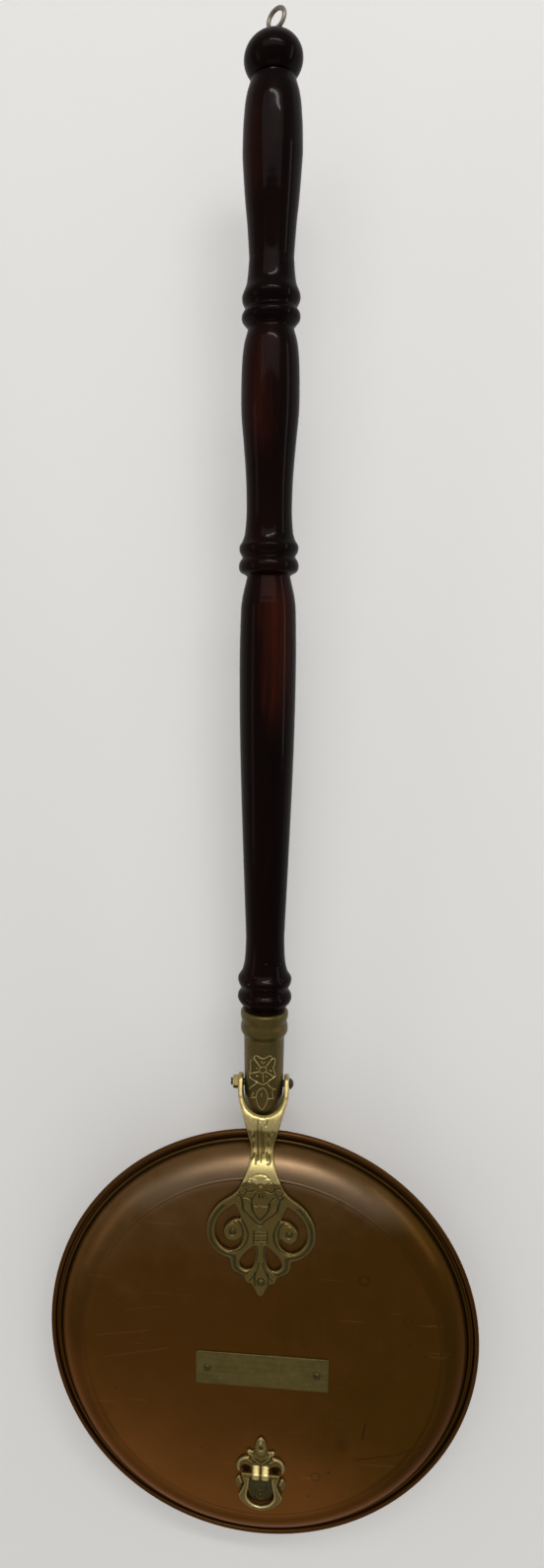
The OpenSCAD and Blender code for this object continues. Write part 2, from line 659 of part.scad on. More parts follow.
module name_plate() color(brass) difference() {
    translate([trim_x, plate_y, disc_z]) linear_extrude(plate_t) rounded_flat(plate_l, plate_w, 1.6);
    for (p = plate_rivets_at) translate(p) shank_hole(small_rivet_d);
}

module name_plate_rivets() color(brass) for (p = plate_rivets_at)
    translate([p[0], p[1], disc_z + plate_t])
        rivet(small_rivet_d, plate_t + copper_t, small_rivet_d * 0.875, small_rivet_d * 0.42);

// ---- the drop pull ----

// Left half of the back plate about the middle of the bail's bar
back_half = smooth_curve([
    [0, 26.8], [-2.5, 24.4], [-4, 20.8], [-4.7, 17.4], [-5.2, 15.8], [-8.3, 16.6],
    [-9.9, 15.5], [-9.4, 13.3], [-8.4, 11.8], [-12, 11.2], [-14.9, 9.3], [-16.9, 6.4],
    [-17.5, 3.4], [-16.6, 0.9], [-14.5, 0.3], [-13.5, 1.6], [-13, 4], [-11, 5.1],
    [-8, 4], [-7, 1.4], [-6.9, -3], [-9.8, -5.6], [-12.4, -5.4], [-14.2, -3.5],
    [-16, -3.9], [-17.5, -6.6], [-17.6, -9.4], [-16.6, -12], [-14.4, -13.4],
    [-10.6, -13.2], [-8.8, -15], [-7.4, -18.4], [-4.4, -21.2], [0, -22]], 3);

// Side view of a knuckle: a round top over the bar and a tail that runs down to the plate
knuckle_tail = 2.6;
module knuckle_section() {
    translate([bar_y, bar_z]) circle(knuckle_r, $fn = 48);
    polygon([[bar_y - knuckle_r, bar_z], [bar_y - knuckle_r - 0.9, back_top - tiny],
             [bar_y + knuckle_r + knuckle_tail, back_top - tiny],
             [bar_y + knuckle_r * 0.8, bar_z + knuckle_r * 0.6]]);
}

knuckle_gap = 1.1;
module pull_backplate() color(brass) difference() {
    union() {
        translate([trim_x, bar_y, disc_z]) linear_extrude(back_t)
            polygon(both_halves(back_half));
        for (side = [-1, 1]) translate([trim_x + side * (knuckle_w + knuckle_gap) / 2, 0, 0])
            rotate([90, 0, 90]) linear_extrude(knuckle_w, center = true) knuckle_section();
    }
    translate([0, bar_y, bar_z]) rotate([0, 90, 0])
        cylinder(h = far, r = bar_d / 2 + running_fit, center = true);
    for (p = pull_rivets_at) translate(p) shank_hole(small_rivet_d);
}

module pull_rivets() color(brass) for (p = pull_rivets_at)
    translate([p[0], p[1], back_top]) rivet(small_rivet_d, back_t + copper_t,
                                              small_rivet_d * 0.7, small_rivet_d * 0.33);

// Left half of the bail about the middle of its bar
bail_in = knuckle_w + knuckle_gap / 2 + 1.3;
bail_half = concat([[0, 0], [-bail_w / 2, 0]], smooth_curve([
    [-bail_w / 2, -0.6], [-12.2, -3.6], [-11.6, -7], [-13.2, -11], [-15.4, -15.2]], 4),
    smooth_curve([[-15.4, -15.4], [-13.9, -18.7], [-10.4, -22], [-6, -bail_l + 1.2],
                  [0, -bail_l]], 4));
bail_hole_half = concat([[0, 1]], [[-bail_in, 1]], smooth_curve([
    [-bail_in, -0.6], [-7.9, -4.6], [-8.6, -9.6], [-9.4, -14.4], [-8.6, -17.8],
    [-5.4, -21.1], [0, -bail_l + 3.2]], 4));

module pull_bail() color(brass) translate([trim_x, bar_y, bar_z]) {
    translate([0, 0, -bail_t / 2]) linear_extrude(bail_t) difference() {
        polygon(both_halves(bail_half));
        polygon(both_halves(bail_hole_half));
    }
    rotate([0, 90, 0]) cylinder(h = bail_w, d = bar_d, center = true);
}

pan();
rim_wire();
socket_backing();
socket_rivets();
handle_socket();
hinge_bolt();
hinge_nut();
handle_lower();
handle_middle();
handle_top();
section_studs();
hanging_eye();
lid();
hinge_strap();
strap_rivets();
name_plate();
name_plate_rivets();
pull_backplate();
pull_rivets();
pull_bail();
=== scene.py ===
"""Bed warming pan: its finishes, its cast and engraved detail, and the studio round it.

Sizes are in metres, in the part's own frame: the pan's flat bottom is centred on the origin, the
handle runs out along +Y and +Z is up. Relief is drawn in millimetres on the face that carries it.
"""
import json
import math

import bmesh
import bpy
import numpy as np
from bpy.props import FloatProperty, FloatVectorProperty, IntProperty, PointerProperty
from mathutils import Matrix, Vector


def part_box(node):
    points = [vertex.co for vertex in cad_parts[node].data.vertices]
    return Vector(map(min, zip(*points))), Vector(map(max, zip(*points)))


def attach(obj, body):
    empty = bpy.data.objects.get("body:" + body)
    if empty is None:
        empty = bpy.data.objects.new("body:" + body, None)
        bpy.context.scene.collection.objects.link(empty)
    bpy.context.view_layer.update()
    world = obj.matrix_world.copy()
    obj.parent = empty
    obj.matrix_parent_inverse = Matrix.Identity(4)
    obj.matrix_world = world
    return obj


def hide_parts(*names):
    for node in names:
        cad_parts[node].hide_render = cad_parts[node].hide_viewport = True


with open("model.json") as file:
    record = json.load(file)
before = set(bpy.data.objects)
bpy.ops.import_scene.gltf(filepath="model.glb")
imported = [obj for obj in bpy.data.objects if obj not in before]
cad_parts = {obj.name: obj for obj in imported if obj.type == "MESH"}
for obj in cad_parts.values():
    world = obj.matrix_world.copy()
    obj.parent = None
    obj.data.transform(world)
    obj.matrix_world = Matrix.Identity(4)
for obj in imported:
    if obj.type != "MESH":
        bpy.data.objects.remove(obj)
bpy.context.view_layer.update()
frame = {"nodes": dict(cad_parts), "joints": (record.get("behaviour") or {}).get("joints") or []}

bl_info = {
    "name": "Bed warming pan",
    "version": (1, 0, 0),
    "blender": (4, 5, 0),
    "location": "3D View > Sidebar > Warming pan",
    "description": "Finishes, cast relief and studio for a lidded copper bed warming pan",
    "category": "Object",
}

MM = 0.001
ROOT_BODY, LID_BODY, BAIL_BODY = "pan_and_handle", "lid", "bail"


def joint_place(name):
    """Where the part's own joint turns, as a vector."""
    return Vector(next(joint["pos_m"] for joint in frame["joints"] if joint["name"] == name))


HINGE = joint_place("lid_hinge")
BAR = joint_place("bail_swing")
LID_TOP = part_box("name_plate")[0].z
HANDLE_RISE = math.radians(3.4)
SOCKET_AXIS = Vector((0, math.cos(HANDLE_RISE), math.sin(HANDLE_RISE)))


# ---- sizes and colours that a user would change ----

def length(name, description, millimetres):
    return FloatProperty(name=name, description=description, default=millimetres * MM,
                         unit="LENGTH", precision=5)


def angle(name, description, degrees):
    return FloatProperty(name=name, description=description, default=math.radians(degrees),
                         subtype="ANGLE")


def colour(name, description, *default):
    return FloatVectorProperty(name=name, description=description, default=default, size=3,
                               subtype="COLOR")


def number(name, description, default):
    return FloatProperty(name=name, description=description, default=default)


class SheetSizes(bpy.types.PropertyGroup):
    """The copper sheet of the pan and the lid."""

    thickness: length("Sheet", "Thickness of the copper sheet", 1.2)
    rim_width: length("Rim", "Width of the rim outside the wall", 11.8)
    corner: length("Corner", "Radius between the bottom and the wall", 18)
    lean: angle("Lean", "Lean of the wall away from upright", 14)
    disc_inset: length("Disc inset", "From the rim's edge to the disc's", 28.9)
    ridge: length("Ridge", "Height of the ridge round the disc", 0.85)
    shoulder: angle("Shoulder", "Slope of the shoulder at the ridge", 15)
    shoulder_foot: angle("Shoulder foot", "Slope of the shoulder's foot", 66)
    fillet: length("Fillet", "Radius between the shoulder and the edge", 1.5)
    hem: length("Hem", "Radius of the lid's rounded edge", 1.3)
    wire: length("Rim wire", "Diameter of the wire in the rolled rim", 1.66)
    steps: IntProperty(name="Steps", description="Steps round the pan and the lid", default=240)


class ReliefSizes(bpy.types.PropertyGroup):
    """The cast and engraved detail."""

    strap_grain: length("Strap grain", "Mesh size on the strap", 0.38)
    pull_grain: length("Pull grain", "Mesh size on the pull", 0.22)
    strap_edge: length("Strap edge", "Radius of the strap's cast edges", 2.1)
    pull_edge: length("Pull edge", "Radius of the cast edges of the pull's plate", 1.2)
    bail_edge: length("Bail edge", "Radius of the bail's worn edges", 1.5)
    engraving: length("Engraving", "Radius of the socket's raised lines", 0.4)


class Colours(bpy.types.PropertyGroup):
    """The colours of the finishes and of the floor."""

    copper: colour("Copper", "Browned copper of the lid", 0.092, 0.0375, 0.0055)
    copper_dark: colour("Dark copper", "Olive-brown copper", 0.068, 0.030, 0.0020)
    # the pale copper of the painted sheen, a painted reflection towards the handle
    copper_painted_sheen: colour("Hazy copper", "Copper with a pale haze", 0.18, 0.098, 0.038)
    brass: colour("Brass", "Aged brass", 0.150, 0.104, 0.028)
    brass_worn: colour("Worn brass", "Brass worn bright", 0.58, 0.46, 0.19)
    brass_dark: colour("Dark brass", "Brass dark in the hollows", 0.052, 0.045, 0.016)
    wood: colour("Wood", "Dark lacquered wood", 0.0022, 0.0005, 0.0004)
    # the red of the wood, painted where light would show it through the lacquer
    wood_red: colour("Red wood", "Where red shows in the lacquer", 0.040, 0.0068, 0.0025)
    chip: colour("Chip", "Bare wood in a chip of the lacquer", 0.20, 0.085, 0.055)
    steel: colour("Steel", "Dull steel", 0.11, 0.095, 0.08)
    bronze: colour("Bronzed steel", "The hanging eye", 0.10, 0.078, 0.05)
    floor: colour("Floor", "The pale floor", 0.84, 0.83, 0.81)


class StudioSizes(bpy.types.PropertyGroup):
    """The camera and the lamps."""

    focal: number("Focal length", "In pixels of the photograph's width", 950)
    centre_x: number("Centre", "Picture centre in pixels from the left", 200)
    camera: FloatVectorProperty(name="Camera", description="Place of the camera",
                                subtype="TRANSLATION", unit="LENGTH", size=3,
                                default=(0.01825, 0.44979, 0.69556))
    turn: FloatVectorProperty(name="Turn", description="Turn of the camera from straight down",
                              subtype="EULER", size=3,
                              default=(-0.08598, 0.10279, 0.00936))
    ceiling: number("Ceiling", "Brightness of the wide soft panel", 1.35)
    strip: number("Strip lamp", "Brightness of the long thin lamp", 28)
    side: number("Side lamp", "Brightness of the lamp at the right", 3)
    left: number("Left lamp", "Brightness of the soft lamp at the left", 0.9)
    near: number("Near lamp", "Brightness of the soft warm near lamp", 0.55)
    fill: number("Fill", "Strength of the even light all round", 1)


class WarmingPan(bpy.types.PropertyGroup):
    """All the settings of the warming pan."""

    sheet: PointerProperty(type=SheetSizes)
    relief: PointerProperty(type=ReliefSizes)
    colours: PointerProperty(type=Colours)
    studio: PointerProperty(type=StudioSizes)


def settings():
    """The settings that every operator reads."""
    return bpy.context.scene.warming_pan


# ---- finishes ----

class Value:
    """A shader socket that Python's arithmetic works on: each step adds its Math node."""

    def __init__(self, finish, socket):
        self.finish = finish
        self.socket = socket

    def maths(self, operation, *values):
        return self.finish.node("Math", {"operation": operation}, dict(enumerate(values)))

    def __add__(self, other):
        return self.maths("ADD", self, other)

    def __radd__(self, other):
        return self.maths("ADD", other, self)

    def __sub__(self, other):
        return self.maths("SUBTRACT", self, other)

    def __rsub__(self, other):
        return self.maths("SUBTRACT", other, self)

    def __mul__(self, other):
        return self.maths("MULTIPLY", self, other)

    def __rmul__(self, other):
        return self.maths("MULTIPLY", other, self)

    def __abs__(self):
        return self.maths("ABSOLUTE", self)

    def clamp(self):
        return self.finish.node("Clamp", {}, {0: self})

    def rise(self, start, end):
        """0 below start, 1 above end and smooth between; falls where end is the lower."""
        low, high = min(start, end), max(start, end)
        ramp = self.finish.node("MapRange", {"interpolation_type": "SMOOTHSTEP"},
                                {0: self, 1: low, 2: high})
        return ramp if start < end else 1 - ramp


class Nodes:
    """A tree of shader nodes."""

    def __init__(self, tree):
        self.nodes = tree.nodes
        self.links = tree.links

    def node(self, kind, options=None, sockets=None, output=0):
        """Adds a node with its settings, then feeds its sockets with values or links."""
        made = self.nodes.new("ShaderNode" + kind)
        for option, value in (options or {}).items():
            if option == "stops":
                self.set_stops(made.color_ramp, value)
            else:
                setattr(made, option, value)
        for socket, value in (sockets or {}).items():
            self.feed(made.inputs[socket], value)
        return Value(self, made.outputs[output])

    @staticmethod
    def set_stops(ramp, stops):
        ramp.elements.remove(ramp.elements[-1])
        for index, (position, colour) in enumerate(stops):
            stop = ramp.elements.new(position) if index else ramp.elements[0]
            stop.position = position
            stop.color = (*colour, 1)

    def feed(self, socket, value):
        if isinstance(value, Value):
            self.links.new(value.socket, socket)
        elif socket.type == "RGBA" and len(value) == 3:
            socket.default_value = (*value, 1)
        else:
            socket.default_value = value

    def mix(self, share, first, second):
        """A colour between two colours."""
        return self.node("Mix", {"data_type": "RGBA"}, {"Factor": share, 6: first, 7: second}, 2)


class Finish(Nodes):
    """One procedural material: its nodes, and the Principled shader that they feed."""

    def __init__(self, name):
        self.material = bpy.data.materials.new(name)
        self.material.use_nodes = True
        super().__init__(self.material.node_tree)
        self.shader = next(n for n in self.nodes if n.type == "BSDF_PRINCIPLED")
        self.place = self.node("TexCoord", output="Object")

    def set(self, **sockets):
        """Feeds the Principled shader, with an underscore for each space in a socket's name."""
        for name, value in sockets.items():
            self.feed(self.shader.inputs[name.replace("_", " ")], value)

    def noise(self, size, detail=3, roughness=0.5, place=None, distortion=0):
        """Noise whose blotches are about this many metres across."""
        return self.node("TexNoise", {}, {"Vector": place or self.place, "Scale": 1 / size,
                                          "Detail": detail, "Roughness": roughness,
                                          "Distortion": distortion})

    def cells(self, size):
        """Distance to the nearest of some points that are about this many metres apart."""
        return self.node("TexVoronoi", {}, {"Vector": self.place, "Scale": 1 / size}, "Distance")

    def mapped(self, scale, offset=(0, 0, 0), turn=(0, 0, 0)):
        """The place for a pattern that is drawn out along the axes whose scale is under 1."""
        return self.node("Mapping", {}, {"Vector": self.place, "Location": offset,
                                         "Rotation": turn, "Scale": scale})

    def away(self, x, y):
        """Distance of the point, seen from above, from (x, y)."""
        flat = self.node("VectorMath", {"operation": "MULTIPLY"}, {0: self.place, 1: (1, 1, 0)})
        return self.node("VectorMath", {"operation": "DISTANCE"}, {0: flat, 1: (x, y, 0)},
                         "Value")

    def axis(self, name):
        return self.node("SeparateXYZ", {}, {0: self.place}, name)

    def bump(self, height, distance, strength=1.0):
        """Feeds the normal with a height in shares of a distance in metres."""
        self.set(Normal=self.node("Bump", {}, {"Height": height, "Distance": distance,
                                               "Strength": strength}))


# Marks on the copper of the lid, in millimetres: place, radius and depth of tone, or for a
# scratch its two ends, half width and depth of tone
LID_SPOTS = [(-99, 30, 1.1, 0.5), (-59, 38, 1.0, 0.35), (-49, 35, 1.1, 0.4), (-50, 21, 1.2, 0.3),
             (-97, 22, 1.4, 0.35), (-84, 68, 1.0, 0.3), (-64, 65, 1.0, 0.3),
             (-61, 83, 0.8, 0.4), (-66, -112, 1.2, 0.5), (-75, -101, 0.9, 0.4),
             (-40, -76, 1.3, 0.4), (-101, -37, 1.3, 0.5), (-95, -37, 0.9, 0.45),
             (-26, -60, 0.9, 0.5), (49, -87, 1.3, 0.7), (35, -106, 1.0, 0.5),
             (102, 12, 1.4, 0.4), (133, 8, 1.2, 0.4), (-33, 62, 0.8, 0.4)]
LID_RINGS = [(71, 56, 3.4, 0.55), (101, 29, 2.6, 0.35), (40, -91, 3.0, 0.3)]
LID_SMUDGES = [(54, 110, 4.5, 0.3), (69, 100, 3.5, 0.3), (58, -66, 6.5, 0.4)]
DARK_SCRATCHES = [((74, -47), (72, -61), 0.9, 1), ((66, -76), (94, -70), 0.7, 0.8),
                  ((94, -70), (114, -61), 0.6, 0.7)]
LIGHT_SCRATCHES = [((-118, 2), (-76, 9), 0.4, 0.5), ((-112, -14), (-62, -3), 0.5, 0.4),
                   ((-96, 22), (-70, 27), 0.4, 0.4), ((20, -60), (34, -58), 0.3, 0.3)]


LATHE_RINGS = 2600  # to the metre


def copper_finish(name, marked=False, reddened=0.0, film=0.05):
    """Old polished copper: browned in patches, with fine rings from the spinning lathe, and with
    painted light: a painted sheen and a painted highlight towards the handle, a painted warm glow
    on the near side and painted shade at the shoulder's foot.

    marked adds the lid's own spots and scratches, reddened is the share of a plainer brown, and
    film the weight of a thin glossy film.
    """
    colours = settings().colours
    finish = Finish(name)
    across, along = finish.axis("X"), finish.axis("Y")
    out = finish.away(0, 0)
    patches = finish.noise(0.085, 4, 0.5, distortion=0.4)
    cloud = finish.noise(0.016, 5, 0.6)
    fine = finish.noise(0.0014, 3, 0.65)
    rings = finish.node("TexNoise", {"noise_dimensions": "1D"},
                        {"W": out * LATHE_RINGS, "Scale": 1, "Detail": 2, "Roughness": 0.6})
    brushed = finish.noise(0.006, 3, 0.6, place=finish.mapped((1, 0.12, 1), turn=(0, 0, 0.35)))
    tone = patches * 0.9 + cloud * 0.35 + (rings - 0.5) * 0.12 + (brushed - 0.5) * 0.2
    olive = (tone + across * 2.4 - along * 0.4).rise(0.45, 0.98)
    colour = finish.mix(olive, colours.copper, colours.copper_dark)
    # Painted sheen: pale copper towards the handle and the left stands in for the reflection of
    # the lamps
    painted_sheen = (along * 5.5 - across * 1.6 + cloud * 0.6 + patches * 0.6).rise(0.75, 1.75)
    colour = finish.mix(painted_sheen * 0.8, colour, colours.copper_painted_sheen)
    # Painted warm glow: orange towards the near, left side, broken up by the patches, stands in
    # for warm light on that side
    warm = (patches * 0.8 - along * 5 - across * 1.5).rise(0.55, 1.12)
    colour = finish.mix(warm * 0.75, colour, (0.200, 0.074, 0.016))
    # Painted highlight: the shoulder next to the ridge, on the handle's side only, is lightened
    # where it would mirror the lamps
    crest = out.rise(0.118, 0.126) * out.rise(0.142, 0.134) * along.rise(0.085, 0.118)
    colour = finish.mix(crest * 0.5, colour, (0.27, 0.19, 0.12))
    # Painted shade: the steep foot of the shoulder, next to the edge and the rim, is darkened all
    # round
    foot = out.rise(0.1415, 0.1455)
    colour = finish.mix(foot * 0.7, colour, (0.046, 0.025, 0.003))
    if reddened:
        colour = finish.mix(reddened, colour, (0.088, 0.032, 0.008))
    specks = 1 - finish.cells(0.009).rise(0.03, 0.06)
    dark = specks * cloud.rise(0.45, 0.65) * 0.5
    streaks = finish.noise(0.003, 2, 0.5, place=finish.mapped((0.06, 1, 1), turn=(0, 0, 0.4)))
    light = streaks.rise(0.70, 0.76) * 0.3
    if marked:
        for marks, outer, inner in ((LID_SPOTS, 1, 0.4), (LID_SMUDGES, 1.3, 0)):
            for x, y, radius, depth in marks:
                spot = finish.away(x * MM, y * MM)
                dark = dark + spot.rise(radius * MM * outer, radius * MM * inner) * depth
        for x, y, radius, depth in LID_RINGS:
            ring = finish.away(x * MM, y * MM)
            dark = dark + (ring.rise(radius * MM * 0.55, radius * MM * 0.9)
                           * ring.rise(radius * MM * 1.4, radius * MM) * depth)
        for mark in DARK_SCRATCHES:
            dark = dark + scratch_line(finish, *mark)
        for mark in LIGHT_SCRATCHES:
            light = light + scratch_line(finish, *mark)
    dark, light = dark.clamp(), light.clamp()
    colour = finish.mix(dark * 0.8, colour, (0.035, 0.016, 0.005))
    colour = finish.mix(light * 0.3, colour, (0.42, 0.24, 0.12))
    finish.set(Base_Color=colour, Metallic=0.88, Coat_Weight=film - dark * 0.6 * film,
               Roughness=0.24 + cloud * 0.12 + dark * 0.25 + patches * 0.08 + light * 0.1)
    finish.set(Coat_Roughness=0.12, Coat_IOR=1.35, Specular_Tint=(0.68, 0.48, 0.38),
               Specular_IOR_Level=0.2)
    finish.bump(rings * 0.25 + fine * 0.45 + cloud * 1.3 - dark * 0.5 - light * 0.3, 0.00012, 0.6)
    return finish.material


def scratch_line(finish, start, end, width, depth):
    """A thin scratch between two points on the lid, given in millimetres."""
    middle = [(a + b) / 2 * MM for a, b in zip(start, end)]
    turn = math.atan2(end[1] - start[1], end[0] - start[0])
    half = math.dist(start, end) / 2 * MM
    own = finish.node("Mapping", {"vector_type": "TEXTURE"},
                      {"Vector": finish.place, "Location": (*middle, 0),
                       "Rotation": (0, 0, turn)})
    wander = finish.noise(0.012, 2, 0.5) * 0.002 - 0.001
    x = abs(finish.node("SeparateXYZ", {}, {0: own}, "X"))
    y = abs(finish.node("SeparateXYZ", {}, {0: own}, "Y") + wander)
    return y.rise(width * MM, 0) * x.rise(half, half * 0.8) * depth


def brass_finish(name, worn=None):
    """Aged brass: olive in the hollows and bright where it is worn.

    worn is the share of wear all over, or None for a cast piece with its own "worn" attribute.
    """
    colours = settings().colours
    finish = Finish(name)
    cloud = finish.noise(0.014, 4, 0.6)
    fine = finish.noise(0.0011, 3, 0.65)
    pits = (1 - finish.cells(0.0045).rise(0.06, 0.16)) * cloud.rise(0.42, 0.6)
    if worn is None:
        worn = finish.node("Attribute", {"attribute_name": "worn"}, output="Fac")
    polish = (worn + (cloud - 0.5) * 0.3 + (fine - 0.5) * 0.22).clamp()
    colour = finish.mix(polish.rise(0.0, 0.38), colours.brass_dark, colours.brass)
    colour = finish.mix(polish.rise(0.45, 1.0), colour, colours.brass_worn)
    green = finish.noise(0.006, 3, 0.6).rise(0.54, 0.7)
    colour = finish.mix(green * 0.2, colour, (0.13, 0.14, 0.05))
    colour = finish.mix(pits * 0.5, colour, (0.06, 0.045, 0.015))
    finish.set(Base_Color=colour, Metallic=0.88,
               Roughness=0.40 - polish * 0.14 + cloud * 0.1 + pits * 0.2)
    finish.bump(fine * 0.7 + cloud * 0.8 - pits * 0.4, 0.00010, 0.7)
    return finish.material


def dull_brass():
    """The finish of the brass rivets."""
    return material("dull_brass", brass_finish, worn=0.1)


def plate_finish(name):
    """Flat brass, dulled to an olive tone, with faint mottling and dark rings at its rivets."""
    finish = Finish(name)
    cloud = finish.noise(0.012, 5, 0.65)
    fine = finish.noise(0.0014, 4, 0.7)
    brushed = finish.noise(0.0025, 3, 0.6, place=finish.mapped((0.08, 1, 1)))
    tone = (cloud * 0.7 + fine * 0.3 + (brushed - 0.5) * 0.4).rise(0.3, 0.72)
    colour = finish.mix(tone, (0.096, 0.078, 0.022), (0.160, 0.118, 0.034))
    stains = finish.noise(0.02, 3, 0.6, place=finish.mapped((1, 1, 1), (0.4, 0.1, 0)))
    colour = finish.mix(stains.rise(0.55, 0.72) * 0.5, colour, (0.105, 0.070, 0.022))
    low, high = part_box("name_plate_rivets")
    rivet = (high.y - low.y) / 2
    ring = 0
    for x in (low.x + rivet, high.x - rivet):
        ring = ring + finish.away(x, (low.y + high.y) / 2).rise(rivet * 1.8, rivet * 1.05)
    colour = finish.mix(ring * 0.6, colour, (0.055, 0.045, 0.016))
    bare = finish.noise(0.006, 4, 0.7).rise(0.62, 0.72)
    colour = finish.mix(bare * 0.3, colour, (0.36, 0.29, 0.12))
    finish.set(Base_Color=colour, Metallic=0.86, Roughness=0.36 + cloud * 0.14 + fine * 0.06)
    finish.bump(fine * 0.6 + cloud * 1.4 + brushed * 0.4, 0.00010, 0.7)
    return finish.material


# Where the red wood is painted as if lit through the lacquer, on one side of each stretch: from
# and to along the handle, how far across it, and depth
RED_STRETCHES = [(0.42, 0.545, 0.004, 1), (0.60, 0.69, -0.006, 0.6), (0.75, 0.83, -0.012, 0.3)]


def wood_finish(name):
    """Near-black glossy lacquer over red wood, with grain, dust nicks and chips on the beads; the
    red is painted stronger on one side, as light shining through the lacquer.
    """
    colours = settings().colours
    finish = Finish(name)
    across, along = finish.axis("X"), finish.axis("Y")
    grain = finish.noise(0.0035, 5, 0.65, finish.mapped((1, 0.06, 1)), 0.6)
    bands = finish.noise(0.06, 3, 0.5, finish.mapped((1, 0.35, 1)))
    # Painted light: the red is stronger towards the left side, as if lit through the lacquer
    red = (bands * 0.6 + grain * 0.25 - across * 11).rise(0.36, 0.8) * 0.15
    for low, high, side, depth in RED_STRETCHES:
        middle, half = (low + high) / 2, (high - low) / 2
        stretch = abs(along - middle).rise(half, half * 0.35)
        beside = abs(across - side)
        glow = (bands * 0.5 + grain * 0.5 - beside * 22).rise(0.2, 0.65)
        red = red + stretch * glow * depth
    red = red.clamp()
    colour = finish.mix(red, colours.wood, colours.wood_red)
    low_beads = along.rise(0.285, 0.262)
    lower = along.rise(0.37, 0.30)
    flecks = finish.noise(0.0026, 2, 0.7)
    chips = flecks.rise(0.69, 0.72) * (low_beads * 0.9 + 0.015)
    dust = ((1 - finish.cells(0.007).rise(0.025, 0.06))
            * finish.noise(0.03, 2).rise(0.52, 0.66) * (lower * 0.7 + 0.3))
    colour = finish.mix(chips, colour, colours.chip)
    colour = finish.mix(dust * 0.55, colour, (0.14, 0.11, 0.09))
    matt = finish.noise(0.02, 4, 0.6)
    hazy = finish.noise(0.0016, 3, 0.7)
    finish.set(Base_Color=colour, Coat_Weight=0.10 - chips * 0.1,
               Roughness=0.27 + matt * 0.14 + hazy * 0.08 + chips * 0.4)
    finish.set(Coat_Roughness=0.08, Specular_IOR_Level=0.03, Specular_Tint=(1, 0.5, 0.45))
    finish.bump(grain * 0.4 + matt * 1.4 + hazy * 0.25 - chips * 1.5, 0.00008, 0.6)
    return finish.material


def steel_finish(name, colour_name):
    """Dull steel with dark specks and fine tool marks."""
    finish = Finish(name)
    base = getattr(settings().colours, colour_name)
    cloud = finish.noise(0.004, 4, 0.6)
    specks = 1 - finish.cells(0.0018).rise(0.1, 0.3)
    colour = finish.mix(cloud.rise(0.35, 0.65), tuple(0.45 * c for c in base), base)
    colour = finish.mix(specks * 0.5, colour, (0.06, 0.035, 0.02))
    finish.set(Base_Color=colour, Metallic=0.95, Roughness=0.32 + cloud * 0.2 + specks * 0.2)
    finish.bump(cloud + specks * -0.6, 0.00006, 0.7)
    return finish.material


def dull_steel():
    """The finish of the wire, the bolt and the studs."""
    return material("dull_steel", steel_finish, "steel")


# ---- shapes ----

def arc(centre, radii, start, end, steps):
    """Points of an arc of a circle or an ellipse, in degrees."""
    wide, high = radii if isinstance(radii, tuple) else (radii, radii)
    return [(centre[0] + wide * math.cos(a), centre[1] + high * math.sin(a))
            for a in (math.radians(start + (end - start) * i / steps) for i in range(steps + 1))]


def moved(path, distance):
    """A path moved to its left, mitred at every corner."""
    points = [Vector(p) for p in path]
    ways = [(b - a).normalized() for a, b in zip(points, points[1:])]
    lefts = [Vector((-way.y, way.x)) for way in ways]
    result = []
    for i, point in enumerate(points):
        middle = lefts[max(i - 1, 0)] + lefts[min(i, len(lefts) - 1)]
        result.append(tuple(point + middle * (2 * distance / middle.length_squared)))
    return result


def lathe(section, steps):
    """Spins a half section of (radius, height) points into a closed shell about Z."""
    shell = bmesh.new()
    line = [shell.verts.new((radius, 0, height)) for radius, height in section]
    edges = [shell.edges.new(pair) for pair in zip(line, line[1:])]
    bmesh.ops.spin(shell, geom=line + edges, cent=(0, 0, 0), axis=(0, 0, 1),
                   angle=2 * math.pi, steps=steps, use_merge=True)
    bmesh.ops.remove_doubles(shell, verts=shell.verts, dist=1e-6)
    bmesh.ops.recalc_face_normals(shell, faces=shell.faces)
    return shell


def merged_copy(node):
    """The CAD node's own mesh, with its loose triangles joined."""
    shape = bmesh.new()
    shape.from_mesh(frame["nodes"][node].data)
    bmesh.ops.remove_doubles(shape, verts=shape.verts, dist=2e-6)
    bmesh.ops.dissolve_degenerate(shape, edges=shape.edges, dist=1e-7)
    return shape


def smooth(shape, verts):
    """Draws each of some corners half way to the middle of its neighbours."""
    bmesh.ops.smooth_vert(shape, verts=verts, factor=0.5,
                          use_axis_x=True, use_axis_y=True, use_axis_z=True)


def placed(name, data):
    """A new object in the scene: a mesh, a curve, a lamp or a camera."""
    made = bpy.data.objects.new(name, data)
    bpy.context.scene.collection.objects.link(made)
    return made


def applied(holder):
    """The shape that an object's modifiers or bevel give it, in place of the object."""
    graph = bpy.context.evaluated_depsgraph_get()
    mesh = bpy.data.meshes.new_from_object(holder.evaluated_get(graph))
    bpy.data.objects.remove(holder)
    shape = bmesh.new()
    shape.from_mesh(mesh)
    bpy.data.meshes.remove(mesh)
    return shape


def piece(name, shape, body, material, replaced=(), crease=35):
    """Makes a mesh object of a shape, smooth but for its sharp creases, riding on a body."""
    mesh = bpy.data.meshes.new(name)
    shape.to_mesh(mesh)
    shape.free()
    mesh.shade_smooth()
    mesh.set_sharp_from_angle(angle=math.radians(crease))
    made = placed(name, mesh)
    mesh.materials.append(material)
    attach(made, body)
    if replaced:
        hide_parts(*replaced)
    return made


def dress(node, material):
    """Gives a carried-over CAD node its finish."""
    mesh = frame["nodes"][node].data
    if not mesh.materials:
        mesh.materials.append(material)
    for index in range(len(mesh.materials)):
        mesh.materials[index] = material


def material(name, make, *arguments, **keywords):
    """The material of that name, made the first time that it is asked for."""
    found = bpy.data.materials.get(name)
    return found or make(name, *arguments, **keywords)


# ---- relief on cast pieces ----

